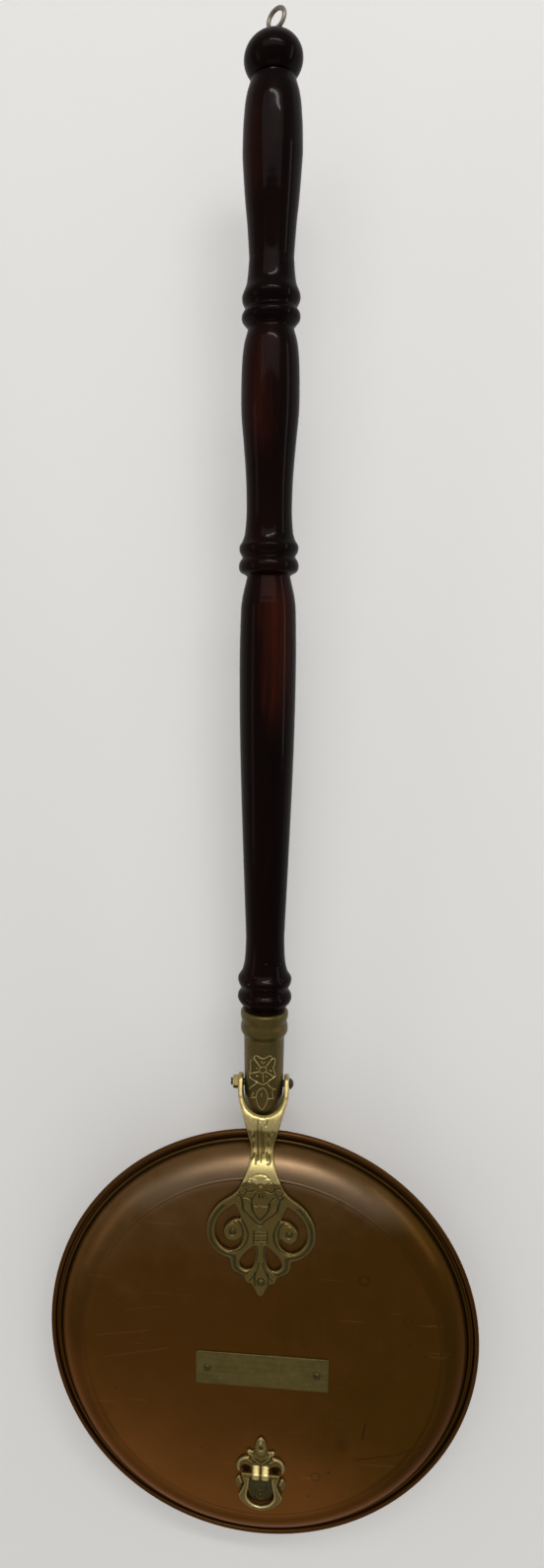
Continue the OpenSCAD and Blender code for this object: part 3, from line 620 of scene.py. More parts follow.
def nearest(points, segments):
    """Distance of each point to the nearest of some segments."""
    best = np.full(len(points), np.inf)
    for start, end in segments:
        way = end - start
        share = np.clip(((points - start) @ way) / max(way @ way, 1e-12), 0, 1)
        best = np.minimum(best, np.linalg.norm(points - start - share[:, None] * way, axis=1))
    return best


def near(points, path):
    """Distance of each point to the nearest place on a polyline."""
    path = np.asarray(path, float)
    return nearest(points, zip(path, path[1:]))


def inside(points, corners):
    """Which points are inside a closed outline."""
    result = np.zeros(len(points), bool)
    corners = np.asarray(corners, float)
    for (x0, y0), (x1, y1) in zip(corners, np.roll(corners, -1, axis=0)):
        crosses = (y0 > points[:, 1]) != (y1 > points[:, 1])
        if y1 != y0:
            crosses &= points[:, 0] < (x1 - x0) * (points[:, 1] - y0) / (y1 - y0) + x0
        result ^= crosses
    return result


def step(value, start, end):
    """Smooth step from 0 at start to 1 at end."""
    share = np.clip((value - start) / (end - start), 0, 1)
    return share * share * (3 - 2 * share)


def curved(points, steps=6):
    """A smooth curve through points."""
    points = [np.asarray(p, float) for p in points]
    result = []
    for i in range(len(points) - 1):
        a, b, c, d = (points[max(i - 1, 0)], points[i], points[i + 1],
                      points[min(i + 2, len(points) - 1)])
        for t in np.arange(steps) / steps:
            result.append(0.5 * (2 * b + (c - a) * t + (2 * a - 5 * b + 4 * c - d) * t * t
                                 + (3 * b - a - 3 * c + d) * t ** 3))
    return np.array(result + [points[-1]])


class Relief:
    """Heights and wear, in millimetres, over points on a face that is seen from above."""

    def __init__(self, points):
        self.points = points
        self.height = np.zeros(len(points))
        self.worn = np.zeros(len(points))

    def ridge(self, path, width, height, worn=0.5):
        shape = np.exp(-(near(self.points, path) / width) ** 2)
        self.height += height * shape
        self.worn += worn * shape

    def groove(self, path, width, depth):
        self.ridge(path, width, -depth, -0.5)

    def press(self, share, depth):
        """Sinks the places where share is 1."""
        self.height -= depth * share
        self.worn -= 0.3 * share

    def pad(self, corners, height, soft, worn):
        """A flat raised field with soft sides."""
        closed = np.vstack([corners, corners[:1]])
        signed = np.where(inside(self.points, corners), 1, -1) * near(self.points, closed)
        shape = step(signed, -soft / 2, soft / 2)
        self.height += height * shape
        self.worn += worn * shape

    def dome(self, x, y, radii, height, turn=0, worn=0.3):
        """A low oval dome with its long side turned by an angle in degrees."""
        a = math.radians(turn)
        local = (self.points - (x, y)) @ np.array([[math.cos(a), -math.sin(a)],
                                                   [math.sin(a), math.cos(a)]])
        share = np.clip(1 - (local[:, 0] / radii[0]) ** 2 - (local[:, 1] / radii[1]) ** 2, 0, 1)
        self.height += height * np.sqrt(share)
        self.worn += worn * step(share, 0, 0.5)


def outline_loops(shape, top_at):
    """The upper edges of a cast plate's upright sides, as loops of segments in millimetres."""
    parent = {}

    def root(v):
        while parent.setdefault(v, v) != v:
            v = parent[v]
        return v

    found = []
    for edge in shape.edges:
        if len(edge.link_faces) != 2:
            continue
        steep = sorted(abs(face.normal.z) for face in edge.link_faces)
        face_up = max(face.normal.z for face in edge.link_faces)
        middle = (edge.verts[0].co + edge.verts[1].co) / 2
        if steep[0] < 0.15 and face_up > 0.25 and top_at(middle):
            found.append(edge)
            parent[root(edge.verts[0])] = root(edge.verts[1])
    loops = {}
    for edge in found:
        loops.setdefault(root(edge.verts[0]), []).append(
            [(v.co.x / MM, v.co.y / MM) for v in edge.verts])
    return sorted((np.array(loop) for loop in loops.values()), key=len, reverse=True)


def remeshed(name, shape, grain):
    """The shape as an even mesh, fine enough to carry relief."""
    mesh = bpy.data.meshes.new(name)
    shape.to_mesh(mesh)
    mesh.shade_smooth()
    holder = placed(name, mesh)
    even = holder.modifiers.new("Even", "REMESH")
    even.mode = "VOXEL"
    even.voxel_size = grain
    even.use_smooth_shade = True
    result = applied(holder)
    smooth(result, result.verts)
    return result


ROUNDING_PASSES = 22
ON_TOP = 0.3 * MM  # how near the upper face an edge of it lies
WEAR, EDGE_WEAR, END_WEAR = 0.34, 0.34, 0.45


def cast(name, node, grain, edge_radius, draw, body, top_of, centre=(0, 0), soften=None,
         round_past=1):
    """A cast piece in place of a CAD node: rounded edges, with relief drawn on its upper face.

    top_of gives the height of the upper face at places (in metres), or NaN where it has none,
    and soften how far that face moves up or down to round its bends. Past the distance
    round_past along +Y the piece is smoothed all round.
    """
    source = merged_copy(node)
    loops = outline_loops(source, lambda p: abs(top_of(np.array([[p.x, p.y]]))[0] - p.z) < ON_TOP)
    shape = remeshed(name, source, grain)
    source.free()
    shape.normal_update()
    places = np.array([v.co for v in shape.verts])
    normals = np.array([v.normal for v in shape.verts])
    flat = places[:, :2] / MM - np.asarray(centre) / MM
    loops = [loop - np.asarray(centre) / MM for loop in loops]
    distances = [nearest(flat, loop) for loop in loops]
    outer = distances[0]
    opening = np.min(distances[1:], axis=0) if len(distances) > 1 else np.full(len(flat), 99.0)
    edge = np.minimum(outer, opening)
    radius = edge_radius / MM
    short = np.clip(radius - edge, 0, radius)
    drop = radius - np.sqrt(np.maximum(radius ** 2 - short ** 2, 0))
    top = top_of(places)
    relief = Relief(flat)
    draw(relief, outer, opening)
    facing = step(normals[:, 2], 0.25, 0.6)
    carries = ~np.isnan(top) & (places[:, 2] > np.nan_to_num(top) - 1.2 * edge_radius)
    limit = np.nan_to_num(top) - drop * MM
    new_z = np.where(carries, np.minimum(places[:, 2], limit), places[:, 2])
    fade = step(edge, 0, 0.8) * facing * carries
    new_z = new_z + relief.height * fade * MM
    if soften:
        new_z = new_z + soften(places) * facing * carries
    for vert, z in zip(shape.verts, new_z):
        vert.co.z = z
    far = [vert for vert in shape.verts if vert.co.y > round_past]
    for _ in range(ROUNDING_PASSES if far else 0):
        smooth(shape, far)
    worn = (WEAR + relief.worn * fade + EDGE_WEAR * step(edge, 1.3, 0.3) * carries
            + END_WEAR * step(places[:, 1], round_past, round_past + 6 * MM))
    made = piece(name, shape, body, material("cast_brass", brass_finish),
                 (node,), crease=70)
    values = made.data.attributes.new("worn", "FLOAT", "POINT")
    values.data.foreach_set("value", np.clip(worn, 0, 1).astype(np.float32))
    return made


# The strap's drawing, in millimetres from the pan's middle: path, half width, depth or height
STRAP_GROOVES = [
    # inside the border of the shield's field
    ([(-15.8, 113.2), (-13.6, 111.4), (-12.6, 107), (-12.2, 103.2), (-8.8, 99.9), (-4.6, 95.6),
      (-0.5, 92.6), (2.4, 95.6), (7.4, 99.4), (10.7, 102.7), (11.9, 107.2), (13.2, 110.8),
      (15.6, 113.2)], 0.5, 0.8),
    # the leaves beside the shield
    ([(-6.6, 111.6), (-6.4, 108.5), (-6.1, 105.4), (-4.6, 101), (-0.6, 96)], 0.42, 0.64),
    ([(5.4, 108.4), (5.5, 105.6), (3.6, 101.2), (-0.6, 96)], 0.42, 0.64),
    ([(-13.4, 112.2), (-9.7, 112.3), (-6.6, 111.2)], 0.4, 0.56),
    ([(5.5, 108.2), (7.6, 111.8), (10.5, 113), (12.8, 111.6), (15, 113.6)], 0.4, 0.56),
    # the flower
    ([(-7.6, 126.2), (-4.4, 128.2), (-0.9, 128.8), (2.7, 128.4), (5.5, 126.4)], 0.45, 0.64),
    ([(-3.4, 116), (-5.7, 111.9)], 0.35, 0.56), ([(-1.7, 115.5), (-1.2, 112.4)], 0.35, 0.56),
    ([(0.4, 115.5), (1.0, 112.5)], 0.35, 0.56), ([(1.6, 116.2), (3.9, 112.3)], 0.35, 0.56),
    ([(-4.4, 122.6), (-8.6, 124.6), (-10.6, 122)], 0.38, 0.56),
    ([(-4.6, 117.8), (-8.4, 116.2), (-10.8, 118.6)], 0.38, 0.56),
    ([(3, 122.6), (7, 124.2), (9.2, 122)], 0.38, 0.56),
    ([(3, 117.9), (7, 116.6), (9.3, 118.8)], 0.38, 0.56),
    ([(-10.4, 116.2), (-12.6, 113.2), (-15.6, 115.8)], 0.35, 0.56),
    ([(9.4, 115.9), (12.3, 113.9), (15.6, 116.6)], 0.35, 0.56),
    ([(-10.2, 120.4), (-13, 119.9)], 0.35, 0.48), ([(8.8, 119.8), (12.8, 119.6)], 0.35, 0.48),
    # the tie
    ([(-4.4, 86.1), (4, 86.5)], 0.42, 0.72), ([(-4.4, 81.2), (4, 81.6)], 0.42, 0.72),
    ([(-4.4, 79.2), (4, 79.6)], 0.35, 0.56), ([(-4.6, 88.6), (4.2, 88.8)], 0.4, 0.56),
    ([(-4.8, 88.2), (-4.9, 79)], 0.35, 0.56), ([(4.5, 88.4), (4.5, 79.2)], 0.35, 0.56),
    # the strands that curl into the scrolls
    ([(-12.8, 96), (-9.8, 90), (-8.8, 84.5), (-10.8, 78), (-15.5, 73.6), (-21, 71.8)], 0.5, 0.64),
    ([(12.6, 96.4), (9.8, 90.4), (8.9, 84.8), (10.8, 78.4), (15.5, 74), (21, 72.2)], 0.5, 0.64),
    ([(-16.6, 95.8), (-13.4, 91.8), (-12.2, 86.6), (-13.6, 81)], 0.45, 0.64),
    ([(16.4, 96), (13.2, 92.2), (12, 87), (13.4, 81.4)], 0.45, 0.64),
    # the stem and its leaves
    ([(-2.8, 77.8), (-2.6, 71), (-3.9, 65), (-7.6, 59.4), (-10.6, 57)], 0.45, 0.56),
    ([(2.8, 77.8), (2.6, 71), (4, 65), (7.8, 59.8), (12.4, 56.8)], 0.45, 0.56),
    ([(-1.1, 66), (-2.4, 60.4), (-5.4, 55), (-7.4, 52.6)], 0.4, 0.48),
    ([(1.6, 66), (3, 60.6), (6, 55.6), (8.4, 53)], 0.4, 0.48),
    ([(-3.4, 58.4), (-4, 53.4), (-3.3, 49)], 0.42, 0.64),
    ([(4.6, 58.6), (5.4, 54), (4.9, 49.6)], 0.42, 0.64),
    # the neck, where it crosses the rim
    ([(-3.4, 164), (-3.1, 153.5), (-2.9, 146), (-2.8, 137.4)], 0.5, 0.64),
    ([(0.8, 153), (0.9, 141)], 0.5, 0.56), ([(4.5, 163.8), (2.6, 158)], 0.45, 0.64),
    ([(-0.9, 158), (-0.5, 147), (-0.6, 136)], 0.4, 0.352),
    ([(-5.4, 140.2), (-7.7, 136.8)], 0.5, 0.64), ([(-3.7, 139), (-4.3, 134.6)], 0.45, 0.56),
    ([(4.8, 139.9), (5.7, 136.2), (4, 134.6)], 0.45, 0.64), ([(3.2, 141), (3.9, 137)], 0.4, 0.48),
    ([(-5.5, 152), (-6, 149.6)], 0.55, 0.72), ([(-6, 146), (-6.6, 143.6)], 0.55, 0.72),
    ([(4.1, 152.4), (4.5, 150.2)], 0.5, 0.64), ([(3.7, 146.4), (4.2, 144.6)], 0.55, 0.72),
    ([(7, 155.6), (7.3, 153.6)], 0.45, 0.56)]
STRAP_RIDGES = [
    ([(-3, 164.4), (-0.9, 158.2)], 0.55, 0.4), ([(2.9, 164.4), (0.6, 158.3)], 0.55, 0.4),
    ([(-8.6, 162), (-7.2, 156.6), (-6.6, 152)], 0.55, 0.3),
    ([(9.4, 162), (7.8, 156.8), (6.6, 152)], 0.55, 0.3),
    ([(-23.6, 93), (-20.4, 96.2), (-16.2, 97.4)], 0.7, 0.5),
    ([(23.4, 93.2), (20, 96.6), (15.8, 97.6)], 0.7, 0.5)]
# Place, half width and half length, height and turn in degrees
STRAP_DOMES = [
    (-0.5, 119.3, 2.1, 2.1, 1.3, 0), (-4.2, 123.5, 3, 2.2, 0.52, -42),
    (3.3, 123.7, 3, 2.2, 0.52, 42), (-6.4, 119.4, 2.6, 1.7, 0.39, 0),
    (5.4, 119.8, 2.6, 1.7, 0.39, 0), (-5, 115.4, 2.5, 1.4, 0.455, 48),
    (-2.6, 113.6, 2.4, 1, 0.455, 75), (0, 113.4, 2.4, 0.9, 0.455, 90),
    (2.6, 114, 2.4, 1.1, 0.455, -65), (4.8, 115.8, 2.4, 1.4, 0.455, -40),
    (-12.8, 116.4, 2.2, 2.4, 0.39, 0), (12.2, 116.8, 2.4, 2.2, 0.39, 0),
    (-9.4, 107.6, 2.6, 4.4, 0.455, -8), (9, 107.2, 2.5, 4.2, 0.455, 10)]
SHIELD = [(-0.6, 97.6), (3.1, 101.4), (4.9, 104.4), (4.7, 107), (3.2, 106.4), (1.6, 107),
          (0.2, 106.4), (-1.2, 107.6), (-2.5, 106.4), (-3.8, 106.4), (-5.4, 107), (-5.6, 104.4),
          (-4.3, 101.2)]
# Where the strap's top is worn bright, and painted with the lamps' highlight at the bend by the
# rim and at the fork: from and to along it, and how much
WORN_AND_LIT_TOPS = [(123.5, 137, 0.8), (137, 156, 0.22), (155.5, 167, 0.75)]


SCROLL_KNOBS = [(-20.8, 87.3), (19.6, 87.3)]


def strap_relief(relief, outer, opening):
    """The strap's scrolls, shield, flower, tie and ribs, in millimetres from the pan's middle."""
    x, y = relief.points[:, 0], relief.points[:, 1]
    ring = (outer + opening < 9.5) & (y < 106) & (np.abs(x) > 11)
    share = outer / np.maximum(outer + opening, 0.1)
    relief.press(np.exp(-((share - 0.46) / 0.16) ** 2) * ring, 0.75)
    relief.pad(SHIELD, 0.55, 0.8, worn=0.12)
    for across, along, wide, tall, height, turn in STRAP_DOMES:
        relief.dome(across, along, (wide, tall), height, turn, worn=0.12)
    for knob in SCROLL_KNOBS:
        relief.dome(*knob, (6.3, 6.3), 0.9, worn=0.1)
    for path, width, depth in STRAP_GROOVES:
        relief.groove(curved(path, 4), width, depth)
    for path, width, height in STRAP_RIDGES:
        relief.ridge(curved(path, 4), width, height, worn=0.25)
    # wear, and a painted highlight on the bends that face the lamps
    for low, high, wear in WORN_AND_LIT_TOPS:
        relief.worn += wear * step(y, low - 2, low + 1.5) * step(y, high + 1.5, high - 2)


# The pull's drawing, in millimetres from the bail's bar: path, half width, height or depth, and
# wear. The sides are drawn on the right and mirrored.
PULL_SIDE_RIDGES = [
    ([(8.6, 14.6), (6.4, 13.6), (4, 11.2)], 1.2, 0.5, 0.45),
    ([(6.4, 8), (10.4, 10), (14.2, 8.2), (15.6, 4.4), (15.2, 1.6)], 1.2, 0.55, 0.35),
    ([(14.4, -2.4), (14.6, -5.4), (13.4, -8.2)], 1.1, 0.5, 0.35),
    ([(6.3, 11.3), (3.4, 8.8), (0.8, 6.6)], 0.5, 0.5, 0.3)]
PULL_SIDE_GROOVES = [
    ([(5.2, 12.2), (2.6, 9.4), (0, 7.8)], 0.45, 0.45),
    ([(8.4, 11.6), (5.2, 8.4), (2.6, 5.6)], 0.45, 0.5),
    ([(5.6, 13.6), (4.6, 15.6), (4.4, 17.6)], 0.4, 0.4),
    ([(3.2, -4), (4.2, -8), (3.8, -11.5)], 0.35, 0.3)]
SHELL = (0, -16.8)
PULL_MIDDLE_RIDGES = [
    ([(0, 23), (0, 25.6)], 0.9, 0.35, 0.5), ([(0, -4), (0, -12.4)], 0.4, 0.3, 0.1),
    (arc(SHELL, 3.2, 0, 360, 18), 0.4, 0.3, 0.1),
    (arc(SHELL, (6, 4.6), 20, 160, 14), 0.4, 0.3, 0.15)]
SHELL_RIBS = (-70, -45, -20, 20, 45)  # degrees


def pull_relief(relief, outer, opening):
    """The back plate's lobe, leaves, scrolls and shell, and painted shade on the tongue behind the
    bail.
    """
    relief.dome(0, 18.4, (3.9, 6.6), 0.7, worn=0.2)
    for path, width, height, wear in PULL_MIDDLE_RIDGES:
        relief.ridge(path, width, height, wear)
    ribs = [([arc(SHELL, reach, turn, turn, 1)[0] for reach in (3.9, 6.6)], 0.3, 0.3)
            for turn in SHELL_RIBS]
    for side in (1, -1):
        for path, width, height, wear in PULL_SIDE_RIDGES:
            relief.ridge(curved(path) * (side, 1), width, height, wear)
        for path, width, depth in PULL_SIDE_GROOVES:
            relief.groove(curved(path) * (side, 1), width, depth)
        for path, width, depth in ribs:
            relief.groove(np.asarray(path) * (side, 1), width, depth)
    # Painted shade: the tongue inside the bail is darkened
    tongue_shade = (np.abs(relief.points[:, 0]) < 8.4) & (relief.points[:, 1] < -3)
    relief.worn -= 0.28 * tongue_shade


def bail_relief(relief, outer, opening):
    """The bail is worn bright, most along its inner edge and its bar."""
    relief.worn += 0.16 + 0.4 * step(opening, 1.7, 0.3)
    relief.worn += 0.35 * step(np.abs(relief.points[:, 1]), 2.4, 1.0)


# ---- the operators: one for each group of pieces ----

class WARMINGPAN_OT_pan(bpy.types.Operator):
    """Makes the copper pan with its rim rolled over a wire."""

    bl_idname = "warmingpan.pan"
    bl_label = "Pan"

    def execute(self, context):
        size = settings().sheet
        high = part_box("pan")[1]
        sheet = size.thickness
        roll = size.wire / 2 + sheet
        roll_middle = (high.x - roll, high.z - roll)
        seat = roll_middle[1] - 0.6 * MM
        seat_under = seat - sheet
        lean, bend = size.lean, 2 * MM
        wall_top = high.x - size.rim_width
        wall_rise = seat_under - (bend + size.corner) * (1 - math.sin(lean))
        foot = (wall_top + bend - (bend + size.corner) * math.cos(lean)
                - wall_rise * math.tan(lean))
        degrees = math.degrees(lean)
        outside = ([(0, 0), (foot * 0.6, 0)]
                   + arc((foot, size.corner), size.corner, -90, -degrees, 16)
                   + arc((wall_top + bend, seat_under - bend), bend, 180 - degrees, 90, 8))
        round_wire = arc(roll_middle, roll, -140, 200, 40)
        section = (outside + [(roll_middle[0] - roll * 0.85, seat_under)]
                   + [p for p in round_wire if p[1] < seat_under or p[0] > round_wire[0][0]]
                   + [(roll_middle[0] - roll * 1.02, seat + 0.05 * MM)]
                   + moved(outside, sheet)[::-1])
        piece("pan_shell", lathe(section, size.steps), ROOT_BODY,
              material("pan_copper", copper_finish, reddened=0.5, film=0.04), ("pan",))
        dress("rim_wire", dull_steel())
        return {"FINISHED"}


# The ridge: millimetres outwards from the disc's edge, and share of its height
RIDGE = [(-1.2, 0), (-0.6, 0.04), (-0.1, 0.22), (0.35, 0.62), (0.8, 0.92), (1.2, 1),
         (1.55, 0.92), (1.85, 0.72), (2.15, 0.55), (2.4, 0.5)]


class WARMINGPAN_OT_lid(bpy.types.Operator):
    """Makes the domed copper lid with the ridge round its disc and its rounded edge."""

    bl_idname = "warmingpan.lid"
    bl_label = "Lid"

    def execute(self, context):
        size = settings().sheet
        low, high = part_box("lid")
        disc_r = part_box("pan")[1].x - size.disc_inset
        hem_middle = (high.x - size.hem, low.z + 0.1 * MM + size.hem)
        edge_top = low.z + size.thickness
        start, foot = size.shoulder, size.shoulder_foot
        top = (disc_r + 2.7 * MM, LID_TOP + size.ridge * 0.48)
        wide = ((hem_middle[0] - top[0] - size.fillet * math.sin(foot))
                / (math.sin(foot) - math.sin(start)))
        tall = ((top[1] - edge_top - size.fillet * (1 - math.cos(foot)))
                / (math.cos(start) - math.cos(foot)))
        centre = (top[0] - wide * math.sin(start), top[1] - tall * math.cos(start))
        upper = ([(0, LID_TOP), (disc_r * 0.5, LID_TOP)]
                 + [(disc_r + r * MM, LID_TOP + size.ridge * share) for r, share in RIDGE]
                 + arc(centre, (wide, tall), 90 - math.degrees(start), 90 - math.degrees(foot), 24)
                 + arc((hem_middle[0], edge_top + size.fillet), size.fillet,
                       270 - math.degrees(foot), 270, 8)[1:])
        under = moved(upper, -size.thickness)
        under[0] = (0, under[0][1])
        shown = [p for p in upper if math.dist(p, hem_middle) > size.hem]
        section = shown + arc(hem_middle, size.hem, 160, -90, 24) + under[::-1]
        piece("lid_shell", lathe(section, size.steps), LID_BODY,
              material("lid_copper", copper_finish, marked=True), ("lid",))
        return {"FINISHED"}


STRAP_SIDES = np.arange(-36, 36.1, 1.5) * MM  # where each row of its profile is measured
BENDS = (0.118, 0.124, 0.166)  # where the softened bends begin, are full and end, along Y


class WARMINGPAN_OT_strap(bpy.types.Operator):
    """Makes the pierced hinge strap with its cast relief, and finishes its rivets."""

    bl_idname = "warmingpan.strap"
    bl_label = "Hinge strap"

    def execute(self, context):
        size = settings().relief
        rows, heights = self.profile()
        known = ~np.isnan(heights)

        def top_of(places):
            top = np.interp(places[:, 1], rows[known], heights[known])
            return np.where(places[:, 1] < rows[-1], top, np.nan)

        reach = np.arange(-18, 19)
        weight = np.exp(-(reach / 7) ** 2)
        filled = np.interp(rows, rows[known], heights[known])
        padded = np.pad(filled, len(reach) // 2, mode="edge")
        soft = np.convolve(padded, weight / weight.sum(), mode="valid")

        def soften(places):
            change = np.interp(places[:, 1], rows, soft) - np.nan_to_num(top_of(places))
            bends = (step(places[:, 1], BENDS[0], BENDS[1])
                     * step(places[:, 1], rows[-1], BENDS[2]))
            return np.where(np.isnan(top_of(places)), 0, change * bends)

        cast("hinge_strap_cast", "hinge_strap", size.strap_grain, size.strap_edge,
             strap_relief, LID_BODY, top_of, soften=soften, round_past=HINGE.y - 21 * MM)
        dress("strap_rivets", dull_brass())
        return {"FINISHED"}

    def profile(self):
        """The strap's highest upper face in each of many rows along Y, or NaN past its end."""
        source = frame["nodes"]["hinge_strap"]
        nearest_y = min(v.co.y for v in source.data.vertices)
        rows = np.arange(nearest_y, HINGE.y - 6.5 * MM, 0.4 * MM)
        strap = source.evaluated_get(bpy.context.evaluated_depsgraph_get())
        heights = []
        for row in rows:
            hits = [strap.ray_cast((side, row, 0.2), (0, 0, -1)) for side in STRAP_SIDES]
            heights.append(max((place.z for hit, place, normal, _ in hits
                                if hit and normal.z > 0.2), default=np.nan))
        return rows, np.array(heights)


class WARMINGPAN_OT_plate(bpy.types.Operator):
    """Makes the bare name plate with its bevelled edge, and finishes its rivets."""

    bl_idname = "warmingpan.plate"
    bl_label = "Name plate"

    def execute(self, context):
        low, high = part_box("name_plate")
        shape = bmesh.new()
        bmesh.ops.create_grid(shape, x_segments=1, y_segments=1, size=0.5)
        bmesh.ops.scale(shape, vec=(high.x - low.x, high.y - low.y, 1), verts=shape.verts)
        bmesh.ops.bevel(shape, geom=list(shape.verts), offset=1.6 * MM, segments=5, profile=0.5,
                        affect="VERTICES", material=-1)
        side = bmesh.ops.extrude_face_region(shape, geom=list(shape.faces))
        raised = [g for g in side["geom"] if isinstance(g, bmesh.types.BMVert)]
        bmesh.ops.translate(shape, vec=(0, 0, high.z - low.z), verts=raised)
        bmesh.ops.recalc_face_normals(shape, faces=shape.faces)
        rim = [e for e in shape.edges if all(v in set(raised) for v in e.verts)
               and len(e.link_faces) == 2
               and min(abs(f.normal.z) for f in e.link_faces) < 0.5]
        bmesh.ops.bevel(shape, geom=rim, offset=0.55 * MM, segments=3, profile=0.5,
                        affect="EDGES", material=-1)
        bmesh.ops.translate(shape, vec=((low.x + high.x) / 2, (low.y + high.y) / 2, low.z),
                            verts=shape.verts)
        piece("name_plate_bevelled", shape, LID_BODY,
              material("plate_brass", plate_finish), ("name_plate",), crease=50)
        dress("name_plate_rivets", dull_brass())
        return {"FINISHED"}


# The pull: thickness of its plate, radius of the bar, how far from the bar its knuckles reach,
# and the middle and half width of each knuckle
PLATE, BAR_RADIUS, BY_BAR = 1.8 * MM, 1.6 * MM, 7 * MM
KNUCKLE_MIDDLE, KNUCKLE_HALF = 3.35 * MM, 2.8 * MM


class WARMINGPAN_OT_pull(bpy.types.Operator):
    """Makes the drop pull: its cast back plate and its bail."""

    bl_idname = "warmingpan.pull"
    bl_label = "Drop pull"

    def execute(self, context):
        size = settings().relief
        plate_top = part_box("pull_backplate")[0].z + PLATE
        middle = (BAR.x, BAR.y)

        def plate_top_of(places):
            by_bar = ((np.abs(places[:, 1] - BAR.y - 1.2 * MM) < 5.8 * MM)
                      & (np.abs(places[:, 0] - BAR.x) < BY_BAR))
            return np.where(by_bar, np.nan, plate_top)

        plate = cast("pull_plate_cast", "pull_backplate", size.pull_grain, size.pull_edge,
                     pull_relief, LID_BODY, plate_top_of, middle)
        self.round_knuckles(plate.data, plate_top)
        bail_top = BAR.z + BAR_RADIUS

        def bail_top_of(places):
            return np.where(places[:, 1] > BAR.y - 1.7 * MM, np.nan, bail_top)

        cast("pull_bail_cast", "pull_bail", size.pull_grain, size.bail_edge,
             bail_relief, BAIL_BODY, bail_top_of, middle)
        dress("pull_rivets", dull_brass())
        return {"FINISHED"}

    def round_knuckles(self, mesh, plate_top):
        """Rounds each knuckle across its width, narrows the slit and paints their crowns bright,
        as wear and as a painted highlight.
        """
        middle, half = KNUCKLE_MIDDLE, KNUCKLE_HALF
        worn = mesh.attributes["worn"].data
        for vert, value in zip(mesh.vertices, worn):
            across, along, up = vert.co - BAR
            if (abs(across) > 2 * middle or vert.co.z < plate_top + 0.25 * MM
                    or abs(along) > BY_BAR):
                continue
            side = 1 if across > 0 else -1
            reach = math.hypot(along, up)
            share = min(abs(abs(across) - middle) / half, 1)
            if reach > BAR_RADIUS + 0.7 * MM:
                pull_in = 1 - 0.15 * share ** 2.4
                vert.co.y, vert.co.z = BAR.y + along * pull_in, BAR.z + up * pull_in
                # wear, and a painted highlight down the middle of each crown
                value.value = 0.95 - 0.5 * share ** 2
            if abs(across) < middle:
                vert.co.x = BAR.x + side * (middle - (middle - abs(across)) * 1.11)
        mesh.update()


# The socket's engraved rose and tulip, in millimetres: across the socket and along it
SOCKET_LINES = [
    [(-7.1, 23.6), (-5.1, 25.9), (-2.8, 24.9), (-0.1, 24.2), (2.3, 25.1), (4.3, 26.2),
     (5.8, 25.4)],
    [(1.6, 18), (6.4, 23.9), (8.3, 22.9), (8.2, 19.7), (7.1, 17.1), (7.8, 14.2), (8.8, 11.2),
     (7.8, 9.8), (4.7, 8.2), (2.5, 6.2), (0.1, 5.2), (-2.6, 5.6), (-5.4, 6.8), (-10, 8.2),
     (-10.5, 10.7), (-9.8, 13.5), (-9.4, 16.8), (-9.9, 19.9), (-8.4, 22.2)],
    [(-7.1, 23.6), (-4.5, 20.7), (-2.3, 18)], [(-10.3, 10.8), (-6.4, 12.9), (-3, 14.3)],
    [(7.8, 9.8), (4.4, 12.8), (1.7, 14.5)], [(0, 7.3), (-0.1, 11), (-0.1, 13)],
    [(-2.3, 17.2), (-0.1, 18.2), (1.7, 17.4), (2.1, 15.7), (0, 13.6), (-2.6, 14.6),
     (-2.3, 17.2)],
    [(-5, 17.2), (-4.3, 16.2)], [(4.4, 15.6), (5.8, 14.7)], [(-5.2, 10.9), (-3.5, 10.7)],
    [(1.5, 11.5), (2.6, 10.9)], [(-1.5, 22), (-0.2, 20.6), (1.2, 22.2)],
    [(-4.4, 5.7), (-7.4, 2.9), (-11, -0.8)], [(3.1, 5), (5.9, 2.2), (9.3, 0.2)],
    [(6.7, 0.9), (6.7, -2.3), (7.7, -5.8)], [(7.7, -5.9), (3.2, -5.5)],
    [(3.2, -5.5), (1.9, -9.6), (0.3, -12.7), (-0.7, -13.5), (-1.6, -13), (-3.6, -10.3),
     (-4.8, -6.7), (-4.9, -5)],
    [(-4.9, -5.1), (-7.6, -5.8), (-10.2, -7.2)], [(-6.9, -1.8), (-8.3, -4.8)],
    [(-0.4, 2.7), (1.8, 0.9), (3, -2.9), (3.2, -5.5)],
    [(-0.8, 2.4), (-3.7, 0), (-4.6, -3.2), (-4.9, -5.1)], [(-1, -1.1), (-1.2, -4)]]


SOCKET_RADIUS, SOCKET_FLARE = 13.65 * MM, 0.018


